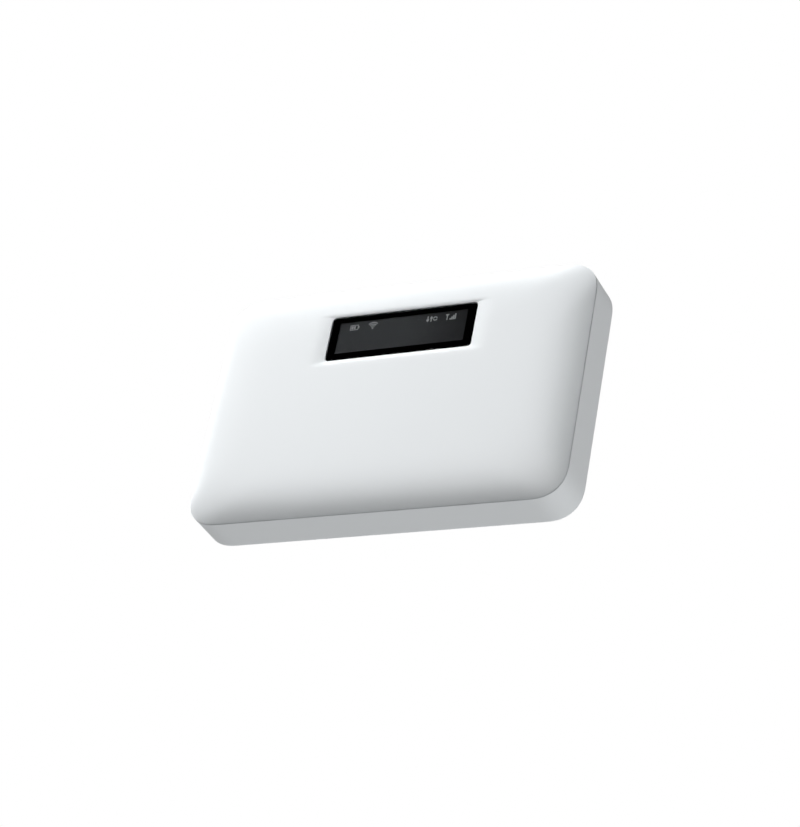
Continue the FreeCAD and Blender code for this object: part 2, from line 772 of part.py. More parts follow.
def make_chips():
    """The circuits under the two shields: label, length, width, height and place of each."""
    chips = [
        ("modem_chip", 12, 12, 0.9, -24, -10),
        ("memory_chip", 8, 10, 0.8, -9.5, -9),
        ("power_chip", 6, 6, 0.7, -28, -23),
        ("radio_chip", 7, 7, 0.8, 12, -8),
        ("wifi_chip", 6, 6, 0.8, 28, -19),
    ]
    for label, length, width, height, x, y in chips:
        piece(block(length, width, height, measure(x), measure(y), BOARD_TOP), label)
    amplifier_places = (24, -5), (30, -5), (11, -20)
    amplifiers = [block(4, 3, 0.8, measure(x), measure(y), BOARD_TOP) for x, y in amplifier_places]
    piece(together(*amplifiers), "power_amplifiers")
    modem_height, pad_thickness = 0.9, 0.28
    pad_base = BOARD_TOP + modem_height
    piece(block(11, 11, pad_thickness, measure(-24), measure(-10), pad_base), "thermal_pad")


def make_board_components():
    """Small passive parts round the shields, in two sizes, and the clock crystal."""
    small = [
        block(1, 0.5, 0.45, measure(-36 + 2.4 * column), measure(9.6 + 1.4 * row), BOARD_TOP)
        for column in range(6)
        for row in range(3)
    ]
    large = [
        block(2, 1.25, 0.8, measure(27 + 3.2 * column), measure(10 + 2.4 * row), BOARD_TOP)
        for column in range(4)
        for row in range(2)
    ]
    piece(together(*small, *large), "board_capacitors")
    coil_places = (-14, -30), (-9.5, -30), (-40, 6)
    coils = [block(3, 3, 1, measure(x), measure(y), BOARD_TOP) for x, y in coil_places]
    piece(together(*coils), "power_inductors")
    piece(block(3.2, 2.5, 0.7, measure(-40), measure(12), BOARD_TOP), "clock_crystal")


def make_charging_socket():
    """Reversible charging socket under the board's tab: drawn shell, tongue and the contacts on it."""
    shell = new_body("SocketShell")
    outer = new_sketch(shell, "YZ_Plane", 0, SOCKET_Z, dim.socket_mouth_x)
    pad(shell, pill_outline(outer, dim.socket_width, dim.socket_height), dim.socket_length)
    inner = new_sketch(shell, "YZ_Plane", 0, SOCKET_Z, dim.socket_mouth_x - OVERRUN)
    skin = 2 * dim.socket_skin
    pill_outline(inner, dim.socket_width - skin, dim.socket_height - skin)
    pocket(shell, inner, dim.socket_length + OVERRUN - dim.socket_skin)
    piece(shell, "usb_shell")
    tongue_root = dim.socket_mouth_x + dim.socket_length - dim.socket_skin
    tongue_tip = dim.socket_mouth_x + dim.tongue_setback
    tongue_x = (tongue_root + tongue_tip) / 2
    tongue = tongue_root - tongue_tip, dim.tongue_width, dim.tongue_thickness
    piece(block(*tongue, tongue_x, measure(0), SOCKET_Z - dim.tongue_thickness / 2), "usb_tongue")
    upper = SOCKET_Z + dim.tongue_thickness / 2
    lower = SOCKET_Z - dim.tongue_thickness / 2 - dim.contact_thickness
    contact = dim.contact_length, dim.contact_width, dim.contact_thickness
    contacts = [
        block(*contact, tongue_x - 0.4, (number - 5.5) * dim.contact_pitch, base)
        for number in range(12)
        for base in (upper, lower)
    ]
    piece(together(*contacts), "usb_contacts")


def make_power_button():
    """Key cap through the +Y side band, with a retaining flange inside the wall."""
    body = new_body("PowerButton")
    outer_face = dim.case_width / 2 + dim.button_proud
    cap = new_sketch(body, "XZ_Plane", dim.button_x, dim.button_z, -outer_face)
    pill_outline(cap, dim.button_length, dim.button_height)
    pad(body, cap, outer_face - BUTTON_FLANGE_FACE + dim.button_flange / 2)
    fillet_plane(body, "Y", outer_face, dim.button_proud * 0.75)
    flange = new_sketch(body, "XZ_Plane", dim.button_x, dim.button_z, -BUTTON_FLANGE_FACE)
    margin = 2 * dim.button_flange_margin
    flange_radius = dim.button_flange_radius
    rounded_outline(flange, dim.button_length + margin, dim.button_height + margin, flange_radius)
    pad(body, flange, dim.button_flange)
    piece(body, "power_button")


def make_power_switch():
    """Side-push switch behind the button: its plunger stands against the button's inner face."""
    length, reach, slack = dim.power_plunger_length, dim.power_plunger_reach, dim.plunger_clearance
    plunger_base = SWITCH_Z - dim.plunger_height / 2
    plunger = dim.power_plunger_width, length, dim.plunger_height
    plunger_y = BUTTON_INNER_FACE - length / 2
    piece(block(*plunger, dim.button_x, plunger_y, plunger_base), "power_switch_plunger")
    body_face = BUTTON_INNER_FACE - reach
    hole_depth = length - reach + dim.plunger_travel_room
    body = dim.power_switch_length, dim.power_switch_depth, dim.switch_height
    hole = dim.power_plunger_width + 2 * slack, hole_depth + OVERRUN, dim.plunger_height + 2 * slack
    switch = cut(
        block(*body, dim.button_x, body_face - dim.power_switch_depth / 2, SWITCH_BASE),
        block(*hole, dim.button_x, body_face + (OVERRUN - hole_depth) / 2, plunger_base - slack),
    )
    piece(switch, "power_switch_body")


def make_reset_switch():
    """Small switch behind the pinhole in the -X end."""
    length, reach, slack = dim.reset_plunger_length, dim.reset_plunger_reach, dim.plunger_clearance
    tip = dim.wall + dim.reset_gap - dim.case_length / 2
    plunger_base = SWITCH_Z - dim.plunger_height / 2
    plunger = length, dim.reset_plunger_width, dim.plunger_height
    piece(block(*plunger, tip + length / 2, dim.reset_y, plunger_base), "reset_switch_plunger")
    body_face = tip + reach
    hole_depth = length - reach + dim.plunger_travel_room
    body = dim.reset_switch_depth, dim.reset_switch_width, dim.switch_height
    hole = hole_depth + OVERRUN, dim.reset_plunger_width + 2 * slack, dim.plunger_height + 2 * slack
    switch = cut(
        block(*body, body_face + dim.reset_switch_depth / 2, dim.reset_y, SWITCH_BASE),
        block(*hole, body_face + (hole_depth - OVERRUN) / 2, dim.reset_y, plunger_base - slack),
    )
    piece(switch, "reset_switch_body")


def make_card_slot():
    """Subscriber card under the board, above the bay's roof, in a sheet-metal holder open towards -Y."""
    slack, side = dim.card_clearance, dim.holder_side
    hole_base = dim.card_base - slack
    holder_base = hole_base - dim.holder_wall
    hole_height = dim.card_thickness + dim.card_pad_thickness + 2 * slack
    hole = dim.card_width + 2 * dim.card_side_play, dim.holder_length, hole_height
    outside = dim.card_width + 2 * side, dim.holder_length, dim.board_base - holder_base
    cutaway = dim.card_width - 3 * side, dim.holder_length / 2, dim.holder_wall + OVERRUN
    holder = cut(
        block(*outside, measure(0), dim.holder_y, holder_base),
        block(*hole, measure(0), dim.holder_y - dim.holder_stop, hole_base),
        block(*cutaway, measure(0), dim.holder_y - dim.holder_length / 4, holder_base - OVERRUN),
    )
    piece(holder, "sim_holder")
    card = dim.card_width, dim.card_length, 0.9
    card_top = dim.card_base + dim.card_thickness
    plate("sim_card", *card, dim.card_base, card_top, 0, dim.card_y)
    pads = [
        block(1.8, 1.6, dim.card_pad_thickness, measure(column * 2.4), dim.card_y + 2 + row, card_top)
        for column in (-1, 0, 1)
        for row in (-1.3, 1.3)
    ]
    piece(together(*pads), "sim_contacts")


# ---------------------------------------------------------------- battery


def battery_contact_places():
    return [share * dim.battery_pad_pitch for share in (-1.5, -0.5, 0.5, 1.5)]


def make_battery():
    """Removable pack: the wrapped cell, the moulded cap at its +X end and the contact pads in the cap."""
    cell = new_body("BatteryCell")
    cell_length = PACK_LENGTH - dim.battery_cap_length
    battery_top = dim.battery_base + dim.battery_thickness
    cell_x = -dim.battery_cap_length / 2
    outline = cell_length, PACK_WIDTH, dim.battery_corner_radius
    rounded_pad(cell, *outline, dim.battery_base, battery_top, cell_x)
    fillet_plane(cell, "Z", dim.battery_base, dim.battery_edge_radius)
    fillet_plane(cell, "Z", battery_top, dim.battery_edge_radius)
    piece(cell, "battery_cell")
    cap = new_body("BatteryCap")
    cap_x = PACK_LENGTH / 2 - dim.battery_cap_length / 2
    outline = dim.battery_cap_length, PACK_WIDTH, dim.battery_cap_radius
    rounded_pad(cap, *outline, dim.battery_base, battery_top, cap_x)
    recess_face = PACK_LENGTH / 2 - dim.battery_pad_recess
    recess = new_sketch(cap, "YZ_Plane", 0, PACK_Z, recess_face)
    rounded_outline(recess, 4.6 * dim.battery_pad_pitch, dim.battery_pad_height + 0.4, 0.3)
    pocket(cap, recess, dim.battery_pad_recess + OVERRUN)
    piece(cap, "battery_cap")
    contact = dim.battery_pad_thickness, dim.battery_pad_width, dim.battery_pad_height
    contact_x = recess_face + dim.battery_pad_thickness / 2
    contact_base = PACK_Z - dim.battery_pad_height / 2
    pads = [block(*contact, contact_x, y, contact_base) for y in battery_contact_places()]
    piece(together(*pads), "battery_pads")


def make_battery_connector():
    """Contact block under the board beside the bay, with four leaf springs through the bay's end wall."""
    face = dim.bay_length / 2 + dim.bay_wall + dim.connector_gap
    base = dim.cavity_floor + dim.connector_gap
    housing = dim.connector_depth, 5 * dim.battery_pad_pitch + 1, dim.board_base - base
    piece(block(*housing, face + dim.connector_depth / 2, measure(0), base), "battery_connector")
    tip = PACK_LENGTH / 2 + dim.spring_gap
    spring = face - tip, dim.spring_width, dim.spring_thickness
    middle, spring_base = (face + tip) / 2, PACK_Z - dim.spring_thickness / 2
    springs = [block(*spring, middle, y, spring_base) for y in battery_contact_places()]
    piece(together(*springs), "battery_springs")


# ---------------------------------------------------------------- antennas, fasteners, label


def make_antenna(name, side, y, width):
    """A moulded carrier in the case's end, with its printed antenna strip on top."""
    middle = side * (dim.case_length / 2 - dim.wall - dim.antenna_inset - dim.antenna_depth / 2)
    carrier = new_body(f"{name.title()}Carrier")
    rounded_pad(carrier, dim.antenna_depth, width, 1.2, dim.antenna_base, dim.antenna_top, middle, y)
    hollow = dim.antenna_depth - 2 * dim.antenna_wall, width - 2 * dim.antenna_wall
    roof_base = dim.antenna_top - dim.antenna_roof
    rounded_pocket(carrier, *hollow, 0.5, dim.antenna_base - OVERRUN, roof_base, middle, y)
    piece(carrier, f"{name}_antenna_carrier")
    finger = dim.antenna_depth - 2 * dim.strip_margin, dim.strip_finger_width, dim.strip_thickness
    shares = -0.4, -0.2, 0, 0.2, 0.4
    fingers = [block(*finger, middle, measure(y + width * share), dim.antenna_top) for share in shares]
    spine_length = measure(width * 0.8) + dim.strip_finger_width
    spine_x = middle + side * dim.strip_spine_offset
    spine = dim.strip_spine_width, spine_length, dim.strip_thickness
    spine = block(*spine, spine_x, measure(y), dim.antenna_top)
    piece(fuse(spine, *fingers), f"{name}_antenna_strip")


def make_antenna_clips():
    """Bent spring clips on the board's ends that feed the antenna strips."""
    clips = []
    for side, y, edge in ((1, 0, dim.board_right), (-1, 20, dim.board_left), (-1, -20, dim.board_left)):
        middle_y = measure(y)
        foot_x = side * (edge - dim.clip_setback)
        upright_x = foot_x + side * (dim.clip_foot - dim.clip_thickness) / 2
        arm_x = foot_x + side * (dim.clip_foot - dim.clip_arm) / 2
        arm_base = BOARD_TOP + dim.clip_height - dim.clip_thickness
        foot = block(dim.clip_foot, dim.clip_width, dim.clip_thickness, foot_x, middle_y, BOARD_TOP)
        upright = block(dim.clip_thickness, dim.clip_width, dim.clip_height, upright_x, middle_y, BOARD_TOP)
        arm = block(dim.clip_arm, dim.clip_width, dim.clip_thickness, arm_x, middle_y, arm_base)
        clips.append(fuse(foot, upright, arm))
    piece(together(*clips), "antenna_clips")


def make_screws():
    """Four case screws, driven up from the door recess into the front cover's bosses."""
    screws = []
    for x, y in boss_places():
        head = disc(dim.screw_head_radius, dim.screw_head_height, x, y, dim.screw_head_base)
        shank_base = dim.screw_head_base + dim.screw_head_height / 2
        shank = disc(dim.screw_radius, dim.screw_length, x, y, shank_base)
        slot_length, slot_width = dim.screw_slot_length, dim.screw_slot_width
        slot_base = dim.screw_head_base - OVERRUN
        slot_height = dim.screw_slot_depth + OVERRUN
        cross = fuse(
            block(slot_length, slot_width, slot_height, x, y, slot_base),
            block(slot_width, slot_length, slot_height, x, y, slot_base),
        )
        screws.append(cut(fuse(head, shank), cross))
    piece(together(*screws), "case_screws")


def make_label():
    """Blank rating label on the bay's roof."""
    label = dim.label_length, dim.label_width, 0.5
    plate("rating_label", *label, dim.bay_top - dim.label_thickness, dim.bay_top, dim.label_x)


# ---------------------------------------------------------------- build and export


def check_document():
    """Stops on any failed object or bad shape."""
    doc.recompute()
    for thing in doc.Objects:
        if {"Invalid", "Error"} & set(thing.State):
            raise ValueError(f"{thing.Name} ({thing.Label}) failed: {thing.State}")
    for thing in pieces:
        if thing.Shape.isNull() or not thing.Shape.isValid() or not thing.Shape.Solids:
            raise ValueError(f"{thing.Label} has no valid shape")


def export_pieces():
    os.makedirs(PART_FOLDER, exist_ok=True)
    for thing in pieces:
        thing.Shape.exportStep(os.path.join(PART_FOLDER, f"{thing.Label}.step"))
        print(f"{thing.Label}: {len(thing.Shape.Solids)} solids, {thing.Shape.Volume:.1f} mm3")


def main():
    make_sheet()
    make_rear_housing()
    make_front_cover()
    make_battery_door()
    make_display()
    make_board()
    make_shield("modem", -dim.shield_x)
    make_shield("radio", dim.shield_x)
    make_chips()
    make_board_components()
    make_charging_socket()
    make_power_button()
    make_power_switch()
    make_reset_switch()
    make_card_slot()
    make_battery()
    make_battery_connector()
    make_antenna("main", 1, 0, 52)
    make_antenna("second", -1, 20.5, 15)
    make_antenna("wifi", -1, -20.5, 15)
    make_antenna_clips()
    make_screws()
    make_label()
    check_document()
    export_pieces()


main()
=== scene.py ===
"""Looks of a pocket mobile hotspot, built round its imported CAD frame. Metres, +Z out of the crowned face."""

import json
import math

import bmesh
import bpy
import numpy as np
from mathutils import Matrix, Vector


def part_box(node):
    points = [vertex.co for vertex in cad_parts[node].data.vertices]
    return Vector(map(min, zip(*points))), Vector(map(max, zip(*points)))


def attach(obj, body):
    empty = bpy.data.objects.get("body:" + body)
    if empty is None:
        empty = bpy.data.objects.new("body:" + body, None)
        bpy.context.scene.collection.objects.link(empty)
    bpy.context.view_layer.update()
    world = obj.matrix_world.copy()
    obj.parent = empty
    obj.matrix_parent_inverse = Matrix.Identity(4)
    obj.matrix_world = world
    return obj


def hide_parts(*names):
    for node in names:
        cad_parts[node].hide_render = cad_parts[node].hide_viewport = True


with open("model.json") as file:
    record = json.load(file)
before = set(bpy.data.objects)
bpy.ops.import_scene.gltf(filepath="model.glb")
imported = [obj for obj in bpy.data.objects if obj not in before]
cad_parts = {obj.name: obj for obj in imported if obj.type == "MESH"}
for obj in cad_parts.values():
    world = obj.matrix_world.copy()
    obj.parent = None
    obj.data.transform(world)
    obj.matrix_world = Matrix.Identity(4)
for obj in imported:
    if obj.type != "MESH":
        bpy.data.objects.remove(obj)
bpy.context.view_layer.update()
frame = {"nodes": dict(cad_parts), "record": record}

MM = 0.001  # lengths below are millimetres until a mesh is made


# ---------------------------------------------------------------- camera and studio, angles in degrees

CAMERA_AZIMUTH = 40.87
CAMERA_ELEVATION = 48.05
CAMERA_ROLL = -38.29
CAMERA_DISTANCE = 716.1
CAMERA_AIM_RIGHT = -2.71  # the point looked at, from the origin across the picture
CAMERA_AIM_UP = 1.66
CAMERA_LENS = 119.6
CAMERA_SENSOR = 36.0
FLOOR_DROP = 45.0  # the floor lies this far down, so that the opened battery door stays above it
SOFTBOX_DISTANCE = 1000.0
SOFTBOX_SIZE = 420.0


# ---------------------------------------------------------------- sizes, read from the frame


def node_box(name):
    """Lowest and highest corners of a CAD node."""
    return [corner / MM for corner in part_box(name)]


def middle(name):
    low, high = node_box(name)
    return (low + high) / 2


HALF_LENGTH, HALF_WIDTH, HOUSING_TOP = node_box("rear_housing")[1]
COVER_LOW, COVER_HIGH = node_box("front_cover")
CROWN_TOP = COVER_HIGH.z
SEAM_GAP = 0.25
RIM = HOUSING_TOP + SEAM_GAP
CORNER_REACH = 9.8  # the case's corners start to turn this far from their ends
CORNER_POWER = 2.5  # and are this superellipse, where 2 would be a circle
BASE_RADIUS = 1.1
WALL = 1.5
SKIN = 1.2
LIP_BASE = COVER_LOW.z
REBATE_WIDTH = 0.75
LIP_INSET = 0.85
CAVITY_FLOOR = 2.4
SOFT_EDGE = 0.12  # radius on the moulded edges
FUSE_DEPTH = 0.2  # how far an added boss or tab runs into what it stands on

# Crown: how far in it rolls, how its corners open out, and how fast it falls away towards the rim.
CROWN_ROLL = 20.0
CROWN_CORNER_GROWTH = 0.19
CROWN_EXPONENT = 4.0
SEAM_EDGE = 0.08  # radius on both edges of the seam
CROWN_BASE = RIM + 0.137  # where the crown would meet the side if its rim were not rounded

# Window, the dish round it, and the display behind it.
WINDOW_LOW, WINDOW_HIGH = node_box("display_window")
WINDOW_HALF = (WINDOW_HIGH - WINDOW_LOW) / 2
WINDOW_MIDDLE = middle("display_window").xy
WINDOW_TOP = WINDOW_HIGH.z
WINDOW_RADIUS = 1.0
WINDOW_GAP = 0.1
WINDOW_LEDGE = node_box("window_tape")[0].z
WINDOW_FRAME = 2.0
DISH_SIDE = 5.0
DISH_END = 1.5
PANEL_LOW, PANEL_HIGH = node_box("lcd_panel")
PANEL_MIDDLE = middle("lcd_panel").xy
PANEL_HALF = (PANEL_HIGH - PANEL_LOW) / 2
PANEL_GAP = 0.15
PANEL_HOLE_RADIUS = 0.4
SEAT_BASE = 11.9
SYMBOL_ROW_DROP = 2.1  # from the panel's +Y edge to the middle of its row of symbols

# Battery door and bay.
DOOR_LOW, DOOR_HIGH = node_box("battery_door")
DOOR_THICKNESS = 1.1
DOOR_RADIUS = 3.8
DOOR_GAP = 0.2
DOOR_SOFT_EDGE = 0.3
RECESS_FLOOR = 1.2
TAB_LENGTH = 7.0
TAB_THICKNESS = 0.9
TAB_RADIUS = 0.2
TAB_SLOT_RADIUS = 0.3
TAB_TAPER = 0.15
TAB_SPREAD = 20.0
TAB_INSET = 1.4
TAB_GAP = 0.25
NOTCH_Y = 18.0
NOTCH_LENGTH = 12.0
NOTCH_DEPTH = 1.6
BAY_GAP = 0.3
BAY_RADIUS = 0.6
BAY_OUTER_RADIUS = 1.5
BAY_HALF = node_box("battery_cap")[1].x + BAY_GAP, node_box("battery_cell")[1].y + BAY_GAP
BAY_TOP = 6.6
BAY_ROOF = 0.8
BAY_WALL = 1.0
CARD_WINDOW_HALF = 7.4, 11.0
CARD_WINDOW_RADIUS = 1.0
CARD_WINDOW_Y = -8.6
CONTACT_WINDOW_HALF = 6.25, 1.4
CONTACT_WINDOW_RADIUS = 0.4

# Holes in the side band, and the screws.
SOCKET_LOW, SOCKET_HIGH = node_box("usb_shell")
SOCKET_SKIN = 0.3
SOCKET_HOLE_GAP = 0.25
BUTTON_FACE = node_box("power_button")[1].y
BUTTON_MIDDLE = middle("power_button")
BUTTON_HALF = 6.0, 1.5
BUTTON_GAP = 0.15
BUTTON_FLANGE_MARGIN = 0.8
BUTTON_FLANGE_LEVELS = 1.6, 2.5  # below the side band's face
PINHOLE_RADIUS = 0.6
SCREWS_LOW, SCREWS_HIGH = node_box("case_screws")
SCREW_HEAD_RADIUS = 1.5
SCREW_HEAD_HEIGHT = 0.9
SCREW_RADIUS = 0.8
SCREW_STEPS = 24  # points round a screw
SCREW_HOLE_RADIUS = 0.95
COUNTERBORE_RADIUS = 1.75
THREAD_PITCH = 0.5
THREAD_DEPTH = 0.12
PILOT_RADIUS = 0.84
PILOT_DEPTH = 2.4
HOUSING_BOSS_RADIUS = 2.6
COVER_BOSS_RADIUS = 2.4
BOARD_LOW, BOARD_HIGH = node_box("main_board")
BOSS_X = SCREWS_HIGH.x - SCREW_HEAD_RADIUS
BOSS_Y = SCREWS_HIGH.y - SCREW_HEAD_RADIUS
CORNERS = ((-1, -1), (1, -1), (1, 1), (-1, 1))

# Steps round a corner and along a side: for the case's own outlines, and for small ones.
LARGE = 24, 36
SMALL = 8, 1
OVERRUN = 1.0  # how far a cutting tool runs past the face it opens
PILL_SLACK = 0.01  # keeps a pill outline's short sides from vanishing


# ---------------------------------------------------------------- outlines and meshes


def outline(half_x, half_y, radius, place=(0, 0), steps=LARGE, power=2.0):
    """Points round a rounded rectangle, anticlockwise. Outlines with the same steps have the same count."""
    corner_steps, side_steps = steps
    corners = [(1, 1), (-1, 1), (-1, -1), (1, -1)]
    points = []
    for index, (sign_x, sign_y) in enumerate(corners):
        angles = np.radians(90 * index + np.linspace(0, 90, corner_steps + 1))
        centre = np.array((sign_x * (half_x - radius), sign_y * (half_y - radius)))
        turn = np.column_stack((np.cos(angles), np.sin(angles)))
        arc = centre + radius * np.sign(turn) * np.abs(turn) ** (2 / power)
        before = np.array(corners[index - 1]) * (half_x - radius, half_y - radius)
        start = before + arc[0] - centre
        points.extend(start + (arc[0] - start) * share for share in np.arange(1, side_steps) / side_steps)
        points.extend(arc)
    return np.array(points) + place


def pill(half_x, half_y, place=(0, 0), steps=SMALL):
    """An outline with all but half-round ends on its long axis."""
    return outline(half_x, half_y, min(half_x, half_y) - PILL_SLACK, place, steps)


def circle(radius, place=(0, 0), count=32):
    angles = 2 * math.pi * np.arange(count) / count
    return radius * np.column_stack((np.cos(angles), np.sin(angles))) + place


def level(points, z):
    """An outline lying flat: one height for all its points, or one for each."""
    return np.column_stack((points, np.broadcast_to(z, len(points))))


def on_left(points, depth):
    """An outline drawn in Y and Z, sunk by depth into the -X end."""
    return np.column_stack((np.full(len(points), depth - HALF_LENGTH), points))


def on_back(points, depth):
    """An outline drawn in X and Z, sunk by depth into the +Y side."""
    return np.column_stack((points[:, 0], np.full(len(points), HALF_WIDTH - depth), points[:, 1]))


def quarter(steps):
    """Shares (across, along) of a quarter round, from its start, square to the rim, to its end."""
    angles = np.radians(np.linspace(0, 90, steps + 1))
    return list(zip(1 - np.cos(angles), np.sin(angles)))


def mesh_object(name, vertices, faces):
    """A closed mesh from millimetre vertices, with its faces turned outwards."""
    mesh = bpy.data.meshes.new(name)
    mesh.from_pydata([Vector(vertex) * MM for vertex in vertices], [], faces)
    work = bmesh.new()
    work.from_mesh(mesh)
    bmesh.ops.recalc_face_normals(work, faces=work.faces)
    if work.calc_volume(signed=True) < 0:
        bmesh.ops.reverse_faces(work, faces=work.faces)
    work.to_mesh(mesh)
    work.free()
    made = bpy.data.objects.new(name, mesh)
    bpy.context.scene.collection.objects.link(made)
    return made


def loft(name, rings, closed=False):
    """Quads between rings of equal count, capped at both ends or closed from the last ring to the first."""
    count = len(rings[0])
    faces = []
    for row in range(len(rings) if closed else len(rings) - 1):
        here, there = row * count, (row + 1) % len(rings) * count
        for k in range(count):
            after = (k + 1) % count
            faces.append((here + k, here + after, there + after, there + k))
    if not closed:
        last = (len(rings) - 1) * count
        faces += [tuple(range(count))[::-1], tuple(range(last, last + count))]
    return mesh_object(name, np.concatenate(rings), faces)


def prism(points, base, top):
    """A straight-sided solid on an outline."""
    return loft("prism", [level(points, base), level(points, top)])


def combine(thing, operation, tools):
    """Adds tools to a piece (UNION) or cuts them away (DIFFERENCE). The tools are used up."""
    for tool in tools:
        modifier = thing.modifiers.new(operation, "BOOLEAN")
        modifier.operation = operation
        modifier.solver = "EXACT"
        modifier.object = tool
    shown = thing.evaluated_get(bpy.context.evaluated_depsgraph_get())
    thing.data = bpy.data.meshes.new_from_object(shown)
    thing.modifiers.clear()
    for tool in tools:
        bpy.data.objects.remove(tool)
    return thing


def joined(name, things):
    """Several loose solids as one mesh."""
    work = bmesh.new()
    for thing in things:
        work.from_mesh(thing.data)
        bpy.data.objects.remove(thing)
    mesh = bpy.data.meshes.new(name)
    work.to_mesh(mesh)
    work.free()
    made = bpy.data.objects.new(name, mesh)
    bpy.context.scene.collection.objects.link(made)
    return made


def hole_tool(face, section, first, last, flare=0.0):
    """Cutting solid from depth first to depth last, whose mouth widens by flare.

    section(extra) is its outline, widened by extra. face(points, depth) lays an outline at a depth.
    """
    rings = [face(section(flare), first - OVERRUN)]
    for across, along in quarter(4) if flare else [(0, 1)]:
        rings.append(face(section(flare * (1 - along)), first + flare * across))
    rings.append(face(section(0), last))
    return loft("hole", rings)


def smooth(thing, angle=38):
    """Smooth shading, with edges sharper than angle left crisp."""
    thing.data.shade_smooth()
    thing.data.set_sharp_from_angle(angle=math.radians(angle))
    weighted = thing.modifiers.new("Weighted normals", "WEIGHTED_NORMAL")
    weighted.keep_sharp = True
    return thing


def keep_piece(thing, body, slot_name, material, *replaced):
    """Gives a finished piece its material and body, and hides the CAD nodes it stands for; slot_name is not
    used.
    """
    thing.data.materials.clear()
    thing.data.materials.append(material)
    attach(thing, body)
    if replaced:
        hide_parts(*replaced)
    return thing


# ---------------------------------------------------------------- materials


# How a surface's grain is drawn out along X, Y and Z.
EVEN = 1, 1, 1
BRUSHED = 1, 12, 1
DRAWN = 1, 8, 8

# Each finish: colour, roughness, metallic, and what else surface() takes.
FINISHES = {
    "case_white": ((0.80, 0.83, 0.847), 0.35, 0.0, {"variation": 0.006}),
    "mask_black": ((0.001, 0.001, 0.001), 0.9, 0.0, {"grain": 0.1}),
    "tape_black": ((0.012, 0.012, 0.013), 0.9, 0.0, {"grain": 0.25, "bump": 0.3}),
    "backlight": ((0.82, 0.83, 0.83), 0.4, 0.0, {"grain": 0.2}),
    "bracket_steel": ((0.56, 0.57, 0.58), 0.3, 1.0, {"stretch": BRUSHED, "bump": 0.15}),
    "ribbon_amber": ((0.42, 0.19, 0.03), 0.3, 0.0, {"stretch": BRUSHED, "bump": 0.2}),
    "connector_cream": ((0.76, 0.70, 0.56), 0.5, 0.0, {}),
    "shield_tin": ((0.66, 0.67, 0.66), 0.28, 1.0, {"patch": 6, "variation": 0.05, "bump": 0.12}),
    "chip_black": ((0.02, 0.02, 0.022), 0.55, 0.0, {"grain": 0.12, "bump": 0.3}),
    "passive_tan": ((0.33, 0.22, 0.13), 0.45, 0.0, {"patch": 2, "variation": 0.2}),
    "pad_grey": ((0.32, 0.35, 0.40), 0.85, 0.0, {"grain": 0.5, "bump": 0.4}),
    "crystal_metal": ((0.72, 0.70, 0.64), 0.25, 1.0, {"bump": 0.1}),
    "socket_steel": ((0.60, 0.61, 0.62), 0.25, 1.0, {"stretch": DRAWN, "bump": 0.1}),
    "contact_gold": ((0.83, 0.58, 0.20), 0.22, 1.0, {"patch": 2, "variation": 0.05, "bump": 0.1}),
    "switch_black": ((0.025, 0.025, 0.026), 0.5, 0.0, {"grain": 0.2, "bump": 0.1}),
    "card_white": ((0.84, 0.84, 0.81), 0.45, 0.0, {"grain": 0.4, "bump": 0.08}),
    "cell_wrap": ((0.62, 0.64, 0.66), 0.38, 0.0, {"patch": 12, "variation": 0.03, "grain": 3, "bump": 0.5}),
    "cap_black": ((0.02, 0.02, 0.022), 0.45, 0.0, {"grain": 0.2, "bump": 0.15}),
    "carrier_black": ((0.03, 0.03, 0.032), 0.5, 0.0, {"grain": 0.25, "bump": 0.12}),
    "strip_copper": ((0.80, 0.40, 0.22), 0.3, 1.0, {"patch": 4, "variation": 0.08, "bump": 0.1}),
    "screw_steel": ((0.50, 0.50, 0.51), 0.32, 1.0, {"patch": 1.5, "variation": 0.06, "bump": 0.15}),
    "label_silver": ((0.70, 0.71, 0.72), 0.55, 0.0, {"grain": 0.15, "bump": 0.2}),
    "symbol_grey": ((0.42, 0.435, 0.44), 0.6, 0.0, {"grain": 0.1}),
}


def grey(value):
    return (value, value, value, 1)


def add_node(tree, kind, **settings):
    """A shader node with its settings and the values of its unlinked inputs."""
    node = tree.nodes.new(kind)
    for key, value in settings.items():
        if key in node.inputs:
            node.inputs[key].default_value = value
        else:
            setattr(node, key, value)
    return node


def spread(tree, source, low, high):
    """Maps a 0 to 1 value onto low to high."""
    ramp = add_node(tree, "ShaderNodeMapRange")
    ramp.inputs["To Min"].default_value = low
    ramp.inputs["To Max"].default_value = high
    tree.links.new(source, ramp.inputs["Value"])
    return ramp.outputs["Result"]


